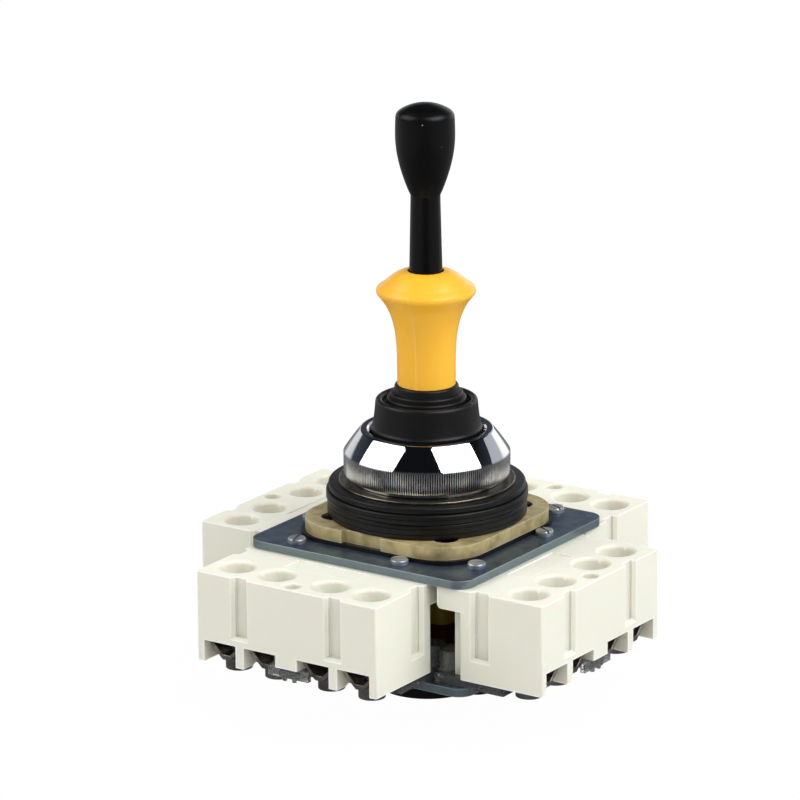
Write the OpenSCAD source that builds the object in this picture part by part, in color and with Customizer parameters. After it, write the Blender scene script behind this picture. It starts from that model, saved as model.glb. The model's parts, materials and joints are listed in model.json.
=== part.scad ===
// Panel-mounted industrial joystick with four contact blocks.
// The lever swings on a gimbal inside a threaded 30 mm head. Its tail moves two crossed
// slides, and each slide works a contact block at either end. A yellow collar lifts on
// the lever against its own spring.
// Millimetres. +Z is up along the lever, the origin is under the base cup on the lever
// axis, and the sides are named front (-Y), right (+X), back (+Y) and left (-X).

/* [Plates] */
// Side of the square top plate
top_plate_side = 60; // [58:0.5:64]
// Thickness of the top plate
top_plate_t = 2; // [1.5:0.1:3]
// Corner radius of both plates
plate_corner_r = 4; // [2:0.5:6]
// Bore through the top plate
plate_bore_r = 11.5; // [10:0.1:12]
// Side of the square bottom plate
base_plate_side = 60; // [58:0.5:64]
// Thickness of the bottom plate
base_plate_t = 2; // [1.5:0.1:3]

/* [Block screws] */
// Distance of each screw row from the lever axis
screw_out = 25.9; // [25.7:0.1:26.1]
// Screw on the short arm of each block, measured along the block
screw_near = 9.8; // [8:0.1:10.6]
// Screw on the long arm of each block, measured along the block
screw_far = 18.6; // [17:0.1:20]
// Shank radius
screw_r = 1.25; // [1:0.05:1.3]
// Radius of the pan heads on the top plate
screw_head_r = 2.1; // [1.8:0.1:2.6]
// Height of the pan heads
screw_head_h = 1.3; // [1:0.1:1.8]
// Width of the driver slots
screw_slot_w = 0.6; // [0.4:0.1:1]
// Depth of the driver slots
screw_slot_d = 0.6; // [0.3:0.1:0.8]
// Radius of the black heads under the bottom plate
base_head_r = 4.3; // [3:0.1:5]
// Height of the black heads
base_head_h = 1.8; // [1.2:0.1:3]

/* [Contact blocks] */
// Length of a block along its plate side
block_w = 49.3; // [48.5:0.1:50]
// Offset of the block's middle from the lever axis
block_shift = -4.65; // [-5:0.05:-4.3]
// Height of a block
block_h = 21.3; // [20.8:0.1:24]
// Outer face from the lever axis
block_out = 50.3; // [50:0.1:56]
// Inner face of the full-height body from the lever axis
block_in = 28.3; // [28:0.1:30]
// Inner face of the wall behind the contact chamber
rear_in = 24; // [23.8:0.1:24.2]
// Inner face of that wall beyond the base screws
rear_end_in = 25.15; // [25:0.05:25.4]
// How far that wall is set back from each end of the block
rear_inset = 3; // [2.6:0.1:3.2]
// Length of the thicker wall on either side of a base screw
rear_pad = 2.3; // [1.8:0.1:3]
// Inner face of the screw lug from the lever axis
lug_in = 22.3; // [22:0.1:22.8]
// Height of the screw lug
lug_h = 5.3; // [4:0.1:5.3]
// Rounding under the inner edge of the lug
lug_edge_r = 1; // [0.5:0.1:2]
// Radius of the upright corners of a block
block_corner_r = 0.5; // [0.3:0.1:1]

/* [Terminals] */
// Outermost terminal screws from the ends of the block
terminal_end = 6.25; // [6.05:0.05:6.45]
// Spacing of the two terminal screws in each half of the block
terminal_pitch = 11.05; // [10.8:0.05:11.3]
// Terminal screws from the block's outer face
terminal_inset = 7.4; // [6.9:0.05:7.5]
// Radius of the driver access holes
access_r = 3.7; // [3.3:0.1:3.7]
// Lip radius round an access hole
access_lip = 1.2; // [0.3:0.1:1.3]
// Depth of the access holes
access_depth = 11; // [9:0.1:11]
// Width of a wire notch
notch_w = 8.8; // [8.6:0.1:9]
// Height of a wire notch
notch_h = 5.1; // [5:0.1:5.6]
// Depth of the wire notches, from the block's outer face
notch_d = 10.7; // [10.6:0.05:10.8]
// Depth of the feet between the notches
foot_d = 6; // [5:0.1:8]
// Rounding of the feet's lower back edge
foot_edge_r = 3; // [1:0.1:3.5]
// How much shorter the middle foot is than the others
centre_foot_cut = 2.3; // [2.3:0.1:2.8]
// Width of a wire saddle
saddle_w = 8.5; // [7:0.1:8.6]
// Depth of a wire saddle, from its inner to its outer edge
saddle_d = 7.6; // [6.4:0.1:7.8]
// Outer edge of a wire saddle behind the block's outer face
saddle_inset = 2.3; // [2.2:0.1:3.4]
// Drop of the saddle's V
saddle_drop = 3.2; // [2.4:0.1:3.4]
// Thickness of a saddle
saddle_t = 1.2; // [0.8:0.05:1.3]
// Height of the threaded boss under a saddle
saddle_boss_h = 3; // [2.4:0.1:3.6]
// Sheet thickness of the terminal bars
terminal_sheet = 0.8; // [0.6:0.05:0.9]
// How far a terminal bar reaches past its screw
bar_reach = 4; // [3.4:0.1:4.4]
// Height of a fixed contact above the notch
bar_tip_h = 3.3; // [2.8:0.1:3.6]
// Radius of the threaded boss under a saddle
saddle_boss_r = 3.1; // [2.6:0.05:3.15]
// Shank radius of a terminal screw
terminal_screw_r = 1.6; // [1.3:0.05:1.8]
// Head radius of a terminal screw
terminal_head_r = 3.1; // [2.6:0.1:3.2]
// Head height of a terminal screw
terminal_head_h = 2.2; // [1.6:0.1:3]

/* [Block mouldings] */
// Small pilot hole on the top of a block
pilot_r = 1.8; // [1.2:0.1:2]
// Pilot hole from the outer face of a block
pilot_inset = 2.9; // [2.6:0.1:3.2]
// Width of the front grooves
groove_w = 3.2; // [2:0.1:4]
// Depth of the front and end grooves
groove_d = 1.35; // [0.5:0.05:1.4]
// Bevel along the groove edges
groove_bevel = 0.75; // [0.2:0.05:0.9]
// Length of the front grooves
groove_h = 14.1; // [10:0.1:14.5]
// Width of the end grooves
end_groove_w = 3.6; // [2:0.1:5]
// End grooves from the lever axis
end_groove_out = 33.7; // [32:0.1:36]
// Length of the end grooves
end_groove_h = 15.7; // [10:0.1:17]
// Length of the sunk label panel on the top of a block
panel_w = 19; // [10:0.5:20]
// Depth of the sunk label panel
panel_d = 0.25; // [0.15:0.05:0.5]

/* [Clear covers] */
// Thickness of the clear cover under a block
cover_t = 2.2; // [2:0.1:3]
// Inner edge of the cover from the lever axis
cover_in = 20.9; // [20.8:0.1:21.2]
// Radius of the cover's upright posts
post_r = 3.05; // [2:0.05:3.1]
// Height of the posts above the bottom plate
post_h = 7; // [5:0.1:8]
// Posts from the lever axis
post_out = 22.6; // [22.6:0.05:22.8]
// Post on the long arm, from the end of the block
post_far_end = 5.8; // [5.7:0.05:6.2]
// Post on the short arm, from the end of the block
post_near_end = 3.7; // [3.65:0.05:4.5]
// Gap between a cover and the ends of its block
cover_inset = 0.8; // [0.75:0.05:1.5]
// Half width of the clip bar at the front of the cover
clip_half_w = 5.5; // [4:0.1:6]

/* [Slides and contacts] */
// Thickness of the crossed slides
slide_t = 2.4; // [2:0.05:2.5]
// Width of the slides' tongues
tongue_w = 5; // [4:0.1:5.2]
// Height of the upper slide below the pivot
slide_x_arm = 19.2; // [19:0.05:19.3]
// Height of the lower slide below the pivot
slide_y_arm = 22.8; // [22.7:0.05:22.9]
// Half length of a slide across its travel
slide_half_l = 9.8; // [9.4:0.1:10.5]
// Half length of a slide along its travel
slide_half_w = 5.6; // [5:0.1:6]
// Where the tongues meet the plungers, from the lever axis
tongue_end = 20; // [19.5:0.1:21]
// Gap between a plunger's crossbar and the fixed contacts, at the centre
contact_gap = 5.5; // [5.4:0.05:5.6]
// Thickness of the crossbar
crossbar_t = 0.8; // [0.6:0.05:0.85]
// Height of the crossbar
crossbar_h = 3.3; // [2.5:0.1:3.5]
// Thickness of the contact bridges
bridge_t = 0.3; // [0.2:0.05:0.35]
// Height of the contact bridges
bridge_h = 2; // [1.6:0.1:2.4]
// How far a bridge reaches past its contacts
bridge_end = 1.8; // [1.4:0.1:1.9]
// Wall between the contact chamber and the wire notches
chamber_wall = 0.7; // [0.6:0.05:0.75]
// Wall between the contact chamber and the ends of the block
chamber_end = 4; // [3.9:0.05:4.05]
// Inner wall of the contact chamber from the lever axis
chamber_in = 27.4; // [27.35:0.05:27.5]

/* [Guides and base] */
// Side of the square guide housing
guide_side = 29; // [28:0.1:29.4]
// Wall of the guide housing
guide_wall = 2; // [1.6:0.1:2.4]
// Corner radius of the guide housing
guide_corner_r = 3; // [2:0.1:4]
// Height of the dark lower guide
lower_guide_h = 8; // [7.5:0.1:8.4]
// Floor of the lower guide
guide_floor_t = 1.5; // [1:0.1:2]
// Bore through the web at the top of the upper guide
guide_web_bore_r = 8.5; // [8:0.1:10]
// Radius of the centring dish
dish_r = 12; // [11.6:0.05:12.1]
// Height of the dish's bowl below the lever's tip
dish_gap = 0.3; // [0.2:0.05:0.4]
// Radius of the dish's guide stem
dish_stem_r = 4; // [3:0.1:4.5]
// Room under the dish's stem for its travel
dish_room = 2.2; // [1.8:0.1:2.6]
// Radius of the base cup
cup_r = 12; // [11.5:0.1:13]
// Height of the base cup below the bottom plate
cup_h = 10.7; // [9.5:0.1:14]
// Wall of the base cup
cup_wall = 1.5; // [1:0.1:1.7]
// Rounding of the cup's lower edge
cup_edge_r = 0.5; // [0.3:0.1:1.4]

/* [Head] */
// How far the zinc flange stands out beyond the lower panel gasket
flange_out = 0.4; // [0.15:0.05:1.4]
// Corner radius of the flange
flange_corner_r = 11.5; // [9:0.1:12]
// Thickness of the flange
flange_t = 3; // [2.6:0.1:4]
// Length of the recess in the flange's front side
flange_recess_w = 10.9; // [8:0.1:14]
// Depth of that recess
flange_recess_d = 1.15; // [0.5:0.05:1.3]
// Thickness of the flat gasket under the flange
flange_gasket_t = 1; // [0.8:0.1:1.5]
// How far that gasket stands out beyond the flange's sides
flange_gasket_out = 0.15; // [0:0.05:0.25]
// Corner radius of that gasket
flange_gasket_corner_r = 9.5; // [8:0.1:12]
// Fixing screws of the flange along X and Y
flange_screw_off = 15.4; // [15.2:0.1:15.8]
// Shank radius of the fixing screws
flange_screw_r = 1.9; // [1.5:0.1:2.2]
// Head radius of the fixing screws
flange_head_r = 2.8; // [2.4:0.1:3]
// Radius of the threaded barrel
thread_r = 15; // [14.6:0.1:15.2]
// Bore of the barrel
barrel_bore_r = 12; // [11.6:0.1:12.2]
// Height of the barrel above the flange
barrel_h = 17.5; // [17:0.1:19]

/* [Panel seals] */
// How much wider the lower and upper panel gaskets are than the washer
gasket_out = 2.7; // [1:0.1:3.4]
// How much wider the middle gasket is
gasket_mid_out = 0.25; // [0:0.05:0.5]
// Thickness of the lower gasket
gasket_low_t = 3.6; // [2.5:0.1:4]
// Thickness of the middle gasket
gasket_mid_t = 2.35; // [1.5:0.05:3]
// Thickness of the upper gasket
gasket_top_t = 1.6; // [1:0.1:2]
// Rounding of the gasket edges
gasket_edge_r = 0.4; // [0.2:0.05:0.5]
// How much wider the clamp washer is than the knurl
washer_out = 1.15; // [0.5:0.05:2]
// Thickness of the clamp washer
washer_t = 0.6; // [0.5:0.1:1]

/* [Bezel ring nut] */
// Knurl over the thread's radius
knurl_out = 4.25; // [3.6:0.05:5]
// Depth of the knurl
knurl_d = 0.3; // [0.2:0.05:0.4]
// Number of knurl teeth
knurl_teeth = 218; // [120:2:240]
// Height of the knurled band
knurl_h = 5.15; // [4:0.05:6]
// Wall of the plain skirt under the band
skirt_wall = 2.5; // [1.5:0.1:3]
// Height of the skirt
skirt_h = 1.25; // [0.8:0.05:2]
// Height of the polished cone
cone_h = 5.45; // [5:0.05:7]
// Top of the cone over the thread's radius
cone_top_out = 0.3; // [0:0.05:1]
// Opening at the top of the cone over the barrel's bore
bezel_bore_out = 0.9; // [0.8:0.05:1.4]
// Bevel round that opening
bezel_bevel = 0.6; // [0.2:0.1:0.8]

/* [Boot] */
// Gap between the boot and the bezel
boot_gap = 0.25; // [0.2:0.05:0.5]
// Radius of the boot's rim
boot_rim_r = 11.8; // [11.4:0.05:12.1]
// Thickness of the rim
boot_rim_w = 2.2; // [1.4:0.1:2.3]
// Height of the rim above the bezel
boot_rim_h = 7.3; // [6.5:0.1:8]
// Radius of the lower convolution
boot_fold_r = 9.15; // [8.8:0.05:9.3]
// Radius of the middle convolution
boot_mid_r = 8.45; // [8:0.05:8.6]
// Radius of the neck
boot_neck_r = 7.37; // [7.1:0.01:7.8]
// Height of the neck above the rim
boot_neck_h = 3.25; // [2.8:0.05:3.8]
// Bore of the neck
boot_bore_r = 6.4; // [6.36:0.01:6.5]

/* [Lever] */
// Height of the pivot above the top plate
pivot_h = 10; // [9.9:0.05:10.2]
// Radius of the gimbal ring
gimbal_r = 10.9; // [10.5:0.1:11]
// Radius inside the gimbal ring
gimbal_in_r = 6.9; // [6.7:0.1:7.2]
// Height of the gimbal ring
gimbal_h = 5; // [4:0.1:5.5]
// Radius of the pivot pins
pin_r = 1.25; // [1:0.05:1.5]
// Radius of the hub on the lever rod
hub_r = 6.2; // [5.5:0.1:6.4]
// Radius of the lever rod above the pivot
rod_r = 2.5; // [2:0.05:2.6]
// Radius of the lever rod below the pivot
tail_rod_r = 2; // [1.6:0.05:2]
// Radius of the neck between the tail's balls
tail_neck_r = 1.4; // [1.1:0.05:1.5]
// Radius of the tail's two driving balls
ball_r = 2.2; // [2:0.05:2.25]
// Radius of the ball at the lever's tip
tip_r = 1.8; // [1.5:0.05:1.9]
// Distance of the tip ball below the pivot
tip_arm = 26.5; // [26.4:0.05:26.7]
// Radius of the stem below the collar's top
stem_r = 3.8; // [3.4:0.05:3.85]
// Radius of the stem where it enters the grip
stem_top_r = 3.4; // [3:0.05:3.6]
// Height of the grip's lower end above the top plate
grip_z = 79.15; // [76:0.05:82]
// Height of the grip
grip_h = 21.3; // [20:0.1:26]
// Largest radius of the grip
grip_r = 6.8; // [6:0.05:8]

/* [Lift collar] */
// Height of the collar from its foot to its crown
collar_h = 26.8; // [26:0.1:29]
// Radius of the collar's tube at its foot
collar_foot_r = 6.72; // [6.6:0.02:7]
// Radius of the collar's finger flange
collar_flange_r = 11.43; // [10.5:0.01:13]
// Radius of the hole in the crown
collar_crown_bore_r = 4.2; // [4:0.05:4.6]
// Inside radius of the collar's spring chamber
collar_bore_r = 5.1; // [4.9:0.05:5.2]
// Lift travel of the collar
lift_travel = 5; // [4:0.1:5]

/* [Clearances] */
// Radial gap of a running fit
run_gap = 0.05; // [0.02:0.01:0.08]
// Radial gap of a seated or pressed piece
seat_gap = 0.02; // [0.01:0.01:0.05]
// Gap between a driving ball and its slot
slot_gap = 0.35; // [0.3:0.01:0.4]

/* [Hidden] */
$fn = 96;
eps = 0.01;
// A cut reaches this far past the face that it opens.
over = 1;

// Heights, stacked up from the surface under the cup
base_plate_z = cup_h;
cover_z = base_plate_z + base_plate_t;
block_z = cover_z + cover_t;
block_top = block_z + block_h;
plate_top = block_top + top_plate_t;
flange_z = plate_top + flange_gasket_t;
flange_top = flange_z + flange_t;
gasket_mid_z = flange_top + gasket_low_t;
gasket_top_z = gasket_mid_z + gasket_mid_t;
washer_z = gasket_top_z + gasket_top_t;
bezel_z = washer_z + washer_t;
knurl_z = bezel_z + skirt_h;
cone_z = knurl_z + knurl_h;
bezel_top = cone_z + cone_h;
barrel_top = flange_top + barrel_h;
pivot_z = plate_top + pivot_h;
slide_x_z = pivot_z - slide_x_arm;
slide_y_z = pivot_z - slide_y_arm;
guide_split_z = cover_z + lower_guide_h;

// Centring dish and the spring under it
dish_rim_h = 1.6;
dish_body_t = 2.9;
dish_centre_z = pivot_z - tip_arm - tip_r - dish_gap;
dish_stem_bottom = cup_wall + dish_room;
dish_under_z = dish_centre_z - dish_body_t;
spring_bore_r = dish_r - 2.8;
spigot_r = spring_bore_r + 1.1;

// Contact block: its ends, and places from its middle and from the lever axis
block_left = block_shift - block_w / 2;
block_right = block_shift + block_w / 2;
terminal_far = block_w / 2 - terminal_end;
terminal_near = terminal_far - terminal_pitch;
terminal_out = block_out - terminal_inset;
groove_off = (terminal_near + terminal_far) / 2;
notch_in = block_out - notch_d;
chamber_out = notch_in - chamber_wall;
chamber_left = block_left + chamber_end;
chamber_right = block_right - chamber_end;
contact_face = chamber_out - 0.2;
crossbar_out = contact_face - contact_gap;
post_x = [block_left + post_far_end, block_right - post_near_end];

// Contact block, measured down from its top
screw_hole_r = screw_r + seat_gap + 0.03;
centre_foot_w = 2 * terminal_near - notch_w + 0.2;
terminal_x = [-terminal_far, -terminal_near, terminal_near, terminal_far];
notch_top = notch_h - block_h;
bar_z = notch_top;
bar_w = 6.8;
tip_w = 4;
chamber_top = -access_depth - 1;
blade_clear = 0.1;
crossbar_gap = 0.35;
blade_slot_top = slide_x_z + slide_t / 2 - block_top + blade_clear + 0.2;
crossbar_top = chamber_top - 0.6;
rear_screw_depth = 8.4;

// Head and boot
skirt_r = thread_r + skirt_wall;
knurl_r = thread_r + knurl_out;
cone_top_r = thread_r + cone_top_out;
bezel_bore_r = barrel_bore_r + bezel_bore_out;
washer_r = knurl_r + washer_out;
gasket_r = washer_r + gasket_out;
flange_side = 2 * (gasket_r + flange_out);
boot_flange_t = 1.3;
boot_base_r = bezel_bore_r - boot_gap;
boot_flange_r = thread_r - 0.5;
boot_rim_z = bezel_top + boot_rim_h;
boot_top = boot_rim_z + boot_neck_h;
collar_foot_z = boot_top + run_gap;
collar_skirt_r = boot_bore_r - 2 * run_gap;
collar_skirt_h = lift_travel + 1;
collar_web_t = 4;
collar_web_z = collar_foot_z + 1.5;
crown_t = 3.6;
crown_z = collar_foot_z + collar_h;
chamber_roof_z = crown_z - crown_t;
spring_ring_t = 1.2;
spring_ring_z = chamber_roof_z - spring_ring_t - 0.8;
stem_z = pivot_z + hub_r + 0.8;
stem_taper_z = crown_z;
grip_base = plate_top + grip_z;
rod_top = grip_base + grip_h - 6;

zinc = [0.60, 0.53, 0.34];
plate_steel = [0.36, 0.40, 0.46];
bright_steel = [0.74, 0.75, 0.77];
nickel = [0.45, 0.43, 0.42];
brass = [0.80, 0.65, 0.32];
chrome = [0.88, 0.88, 0.90];
ivory = [0.90, 0.90, 0.85];
rubber = [0.07, 0.07, 0.07];
black = [0.05, 0.05, 0.05];
amber = [0.98, 0.72, 0.20];
guide_yellow = [0.85, 0.75, 0.10];
guide_red = [0.35, 0.06, 0.06];
clear = [0.85, 0.88, 0.88, 0.4];

// ---- helpers ----

// A rectangle centred on the origin with true round corners.
module rounded_rect(w, d, r) {
    square([w - 2 * r, d], center = true);
    square([w, d - 2 * r], center = true);
    for (x = [-1, 1], y = [-1, 1]) translate([x * (w / 2 - r), y * (d / 2 - r)]) circle(r);
}

// A tube standing on the XY plane.
module ring(r_out, r_in, h) {
    difference() {
        cylinder(r = r_out, h = h);
        translate([0, 0, -over]) cylinder(r = r_in, h = h + 2 * over);
    }
}

// Points of an arc about [x, y], from angle a to angle b.
function arc(x, y, r, a, b, steps = 6) =
    [for (i = [0:steps]) let (t = a + (b - a) * i / steps) [x + r * cos(t), y + r * sin(t)]];

// A ring with rounded outer edges, such as a moulded gasket.
module soft_ring(r_out, r_in, h, edge) {
    rotate_extrude()
        polygon(concat([[r_in, 0]], arc(r_out - edge, edge, edge, -90, 0),
                       arc(r_out - edge, h - edge, edge, 0, 90), [[r_in, h]]));
}

// Puts a child drawn for the front side on one of the four sides.
module on_side(n) {
    rotate([0, 0, 90 * n]) children();
}

// Extrudes an outline drawn in [outward, up] along a block, between two places.
module along_block(x0, x1) {
    translate([x0, 0, 0]) rotate([90, 0, 90]) linear_extrude(x1 - x0) mirror([1, 0]) children();
}

// A box in block places: x along the block, v outward from the lever axis, z up.
module block_box(x0, x1, v0, v1, z0, z1) {
    translate([x0, -v1, z0]) cube([x1 - x0, v1 - v0, z1 - z0]);
}

// A round wire wound on radius r from the XY plane up to h.
module coil(r, wire_r, h, turns) {
    sides = 6;
    steps = 14;
    rings = turns * steps;
    rise = h - 2 * wire_r;
    points = [for (i = [0:rings], k = [0:sides - 1])
        let (t = 360 * i / steps, w = 360 * k / sides, out = r + wire_r * cos(w))
        [out * cos(t), out * sin(t), wire_r + rise * i / rings + wire_r * sin(w)]];
    walls = [for (i = [0:rings - 1], k = [0:sides - 1])
        let (a = i * sides + k, b = i * sides + (k + 1) % sides) [a, a + sides, b + sides, b]];
    first = [for (k = [0:sides - 1]) k];
    last = [for (k = [sides - 1:-1:0]) rings * sides + k];
    polyhedron(points, concat(walls, [first, last]));
}

// A pan-head screw with its head standing on the XY plane and its shank below.
module pan_screw(r, length, head_r, head_h) {
    dome = head_h * 0.45;
    difference() {
        rotate_extrude()
            polygon(concat([[0, -length], [r, -length], [r, 0], [head_r, 0]],
                           arc(head_r - dome, head_h - dome, dome, 0, 90), [[0, head_h]]));
        translate([-head_r - over, -screw_slot_w / 2, head_h - screw_slot_d])
            cube([2 * (head_r + over), screw_slot_w, screw_slot_d + over]);
    }
}

// Puts children at the block screws of all four sides.
module at_block_screws() {
    for (n = [0:3], x = [screw_near, -screw_far]) on_side(n) translate([x, -screw_out, 0]) children();
}

// ---- lever ----

module grip() {
    shoulder_z = 0.65 * grip_h;
    edge_r = 2.1;
    dome_h = 1.1;
    flat_r = grip_r - 0.2 - edge_r;
    belly = [for (t = [0:0.1:1]) [stem_top_r + (grip_r - stem_top_r) * sin(90 * t), shoulder_z * t]];
    edge = arc(flat_r, grip_h - dome_h - edge_r, edge_r, 0, 80);
    dome = [for (t = [0.2:0.2:1]) [flat_r * (1 - t), grip_h - dome_h * pow(1 - t, 2)]];
    color(black) translate([0, 0, grip_base]) difference() {
        rotate_extrude()
            polygon(concat([[0, 0]], belly, edge, dome));
        translate([0, 0, -over]) cylinder(r = rod_r + seat_gap, h = rod_top - grip_base + seat_gap + over);
    }
}

module lever_rod() {
    tip_z = pivot_z - tip_arm;
    color(bright_steel) difference() {
        union() {
            translate([0, 0, pivot_z]) cylinder(r = rod_r, h = rod_top - pivot_z);
            translate([0, 0, slide_x_z]) cylinder(r = tail_rod_r, h = pivot_z - slide_x_z);
            translate([0, 0, tip_z]) cylinder(r = tail_neck_r, h = slide_x_z - tip_z);
            for (z = [slide_x_z, slide_y_z]) translate([0, 0, z]) sphere(ball_r);
            translate([0, 0, tip_z]) sphere(tip_r);
        }
        translate([0, 0, pivot_z]) rotate([90, 0, 0])
            cylinder(r = pin_r + run_gap, h = 3 * rod_r, center = true);
    }
}

module lever_stem() {
    shoulder_t = 1.5;
    color(black) difference() {
        union() {
            translate([0, 0, stem_z]) cylinder(r = stem_r, h = stem_taper_z - stem_z);
            translate([0, 0, stem_taper_z])
                cylinder(r1 = stem_r, r2 = stem_top_r, h = grip_base - stem_taper_z);
            translate([0, 0, collar_web_z - shoulder_t - 2 * run_gap])
                cylinder(r = collar_bore_r - 2 * run_gap, h = shoulder_t);
        }
        translate([0, 0, stem_z - over])
            cylinder(r = rod_r + seat_gap, h = grip_base - stem_z + 2 * over);
    }
}

module lever_hub() {
    flat = hub_r - 1;
    color(bright_steel) translate([0, 0, pivot_z]) difference() {
        sphere(hub_r);
        for (s = [-1, 1]) translate([0, 0, s * (flat + over)])
            cube([2 * hub_r, 2 * hub_r, 2 * over], center = true);
        cylinder(r = rod_r + seat_gap, h = 3 * hub_r);
        translate([0, 0, -3 * hub_r]) cylinder(r = tail_rod_r + seat_gap, h = 3 * hub_r);
        rotate([90, 0, 0]) cylinder(r = pin_r + run_gap, h = 3 * hub_r, center = true);
    }
}

module spring_ring() {
    color(bright_steel) translate([0, 0, spring_ring_z])
        ring(collar_bore_r - 0.2, stem_r + seat_gap, spring_ring_t);
}

// The collar's outside flares from its tube into a finger flange and closes in a crown.
module lift_collar() {
    flange_z = collar_h * 0.825;
    rim_r = 1.1;
    flare = [for (i = [0:8]) let (t = i / 8)
        [collar_foot_r + (collar_flange_r * 0.8 - collar_foot_r) * pow(t, 4), flange_z * 0.84 * t]];
    rim = arc(collar_flange_r - rim_r, flange_z, rim_r, -40, 50, 5);
    crown = [for (t = [0.25:0.25:1])
        [collar_flange_r - 0.5 - (collar_flange_r - 0.5 - collar_crown_bore_r) * t,
         flange_z + 0.6 + (collar_h - flange_z - 0.6) * sin(90 * t)]];
    bottom = -collar_skirt_h;
    web = collar_web_z - collar_foot_z;
    roof = collar_h - crown_t;
    color(amber) translate([0, 0, collar_foot_z]) difference() {
        rotate_extrude()
            polygon(concat([[collar_bore_r, bottom], [collar_skirt_r, bottom], [collar_skirt_r, 0]],
                           flare, rim, crown,
                           [[collar_crown_bore_r, roof], [collar_bore_r, roof],
                            [collar_bore_r, web + collar_web_t], [stem_r + run_gap, web + collar_web_t],
                            [stem_r + run_gap, web], [collar_bore_r, web]]));
    }
}

module collar_spring() {
    wire_r = 0.4;
    foot = collar_web_z + collar_web_t + seat_gap;
    color(bright_steel) translate([0, 0, foot])
        coil((stem_r + collar_bore_r) / 2, wire_r, spring_ring_z - foot - seat_gap, 9);
}

// ---- boot and bezel ----

module boot() {
    wall = 1.2;
    base = barrel_top - bezel_top;
    lip = base + boot_flange_t;
    rim = boot_rim_h;
    top = rim + boot_neck_h;
    valley = rim - 2.3;
    edge = boot_rim_w / 2;
    rim_in_r = boot_rim_r - boot_rim_w;
    fold_top = rim + 0.3;
    mid_top = rim + 1.4;
    color(rubber) translate([0, 0, bezel_top]) rotate_extrude() polygon(concat(
        [[barrel_bore_r + 0.2, base], [boot_flange_r, base], [boot_flange_r, lip], [boot_base_r, lip],
         [boot_base_r, 0]],
        arc(boot_rim_r - edge, rim - edge, edge, 0, 180),
        arc((rim_in_r + boot_fold_r) / 2, valley, (rim_in_r - boot_fold_r) / 2, 0, -180, 4),
        arc(boot_fold_r - 0.4, fold_top - 0.4, 0.4, 0, 90, 4),
        arc(boot_mid_r - 0.4, mid_top - 0.4, 0.4, 0, 90, 4),
        arc(boot_neck_r - 0.6, top - 0.6, 0.6, 0, 90, 4),
        [[boot_bore_r, top], [boot_bore_r, fold_top - 0.4], [boot_fold_r - wall, fold_top - 1.6],
         [boot_fold_r - wall, valley - wall], [boot_rim_r - 1.1 * wall, valley - wall],
         [barrel_bore_r - 0.6, 0], [barrel_bore_r - 0.4, lip - 0.6]]));
}

// Outline of the knurl: one peak and one root for each tooth.
module knurl_outline() {
    step = 180 / knurl_teeth;
    polygon([for (i = [0:2 * knurl_teeth - 1]) let (r = i % 2 == 0 ? knurl_r : knurl_r - knurl_d)
        [r * cos(i * step), r * sin(i * step)]]);
}

module bezel_ring() {
    thread_gap = 0.1;
    core_r = knurl_r - knurl_d - eps;
    lip_z = barrel_top + boot_flange_t + seat_gap;
    edge = 0.3;
    color(chrome) difference() {
        union() {
            rotate_extrude()
                polygon(concat([[0, bezel_z], [skirt_r, bezel_z], [skirt_r, knurl_z], [core_r, knurl_z],
                                [core_r, cone_z], [knurl_r - 0.05, cone_z]],
                               arc(cone_top_r - edge, bezel_top - edge, edge, 30, 90, 3),
                               [[0, bezel_top]]));
            translate([0, 0, knurl_z]) linear_extrude(knurl_h) knurl_outline();
        }
        translate([0, 0, bezel_z - over]) cylinder(r = thread_r + thread_gap, h = lip_z - bezel_z + over);
        translate([0, 0, lip_z - over]) cylinder(r = bezel_bore_r, h = bezel_top - lip_z + 2 * over);
        translate([0, 0, bezel_top - bezel_bevel])
            cylinder(r1 = bezel_bore_r, r2 = bezel_bore_r + 2 * bezel_bevel, h = 2 * bezel_bevel);
    }
}

module clamp_washer() {
    color(bright_steel) translate([0, 0, washer_z]) soft_ring(washer_r, thread_r + 0.15, washer_t, 0.2);
}

module gasket_upper() {
    color(rubber) translate([0, 0, gasket_top_z])
        soft_ring(gasket_r - 0.3, thread_r + 0.15, gasket_top_t, gasket_edge_r);
}

module gasket_middle() {
    color(rubber) translate([0, 0, gasket_mid_z])
        soft_ring(gasket_r + gasket_mid_out, thread_r + 0.15, gasket_mid_t, gasket_edge_r);
}

module gasket_lower() {
    color(rubber) translate([0, 0, flange_top])
        soft_ring(gasket_r, thread_r + 0.15, gasket_low_t, gasket_edge_r);
}

// ---- head ----

module at_flange_screws() {
    for (x = [-1, 1], y = [-1, 1]) translate([x * flange_screw_off, y * flange_screw_off, 0]) children();
}

// Zinc casting: a square flange and the threaded barrel in one piece.
module head_body() {
    counterbore_d = 2.2;
    recess_x = -7.9;
    color(zinc) difference() {
        union() {
            translate([0, 0, flange_z]) linear_extrude(flange_t)
                rounded_rect(flange_side, flange_side, flange_corner_r);
            translate([0, 0, flange_z]) cylinder(r = thread_r, h = flange_t + barrel_h);
        }
        translate([0, 0, flange_z - over]) cylinder(r = barrel_bore_r, h = flange_t + barrel_h + 2 * over);
        translate([recess_x, flange_recess_d - flange_side / 2 - over * 2, flange_z - over])
            cube([flange_recess_w, over * 2, flange_t + 2 * over]);
        at_flange_screws() {
            translate([0, 0, flange_z - over]) cylinder(r = flange_screw_r + 0.1, h = flange_t + 2 * over);
            translate([0, 0, flange_top - counterbore_d])
                cylinder(r = flange_head_r + 0.3, h = counterbore_d + over);
        }
        translate([0, 0, pivot_z]) rotate([0, 90, 0])
            cylinder(r = pin_r + seat_gap, h = 3 * thread_r, center = true);
    }
}

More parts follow.
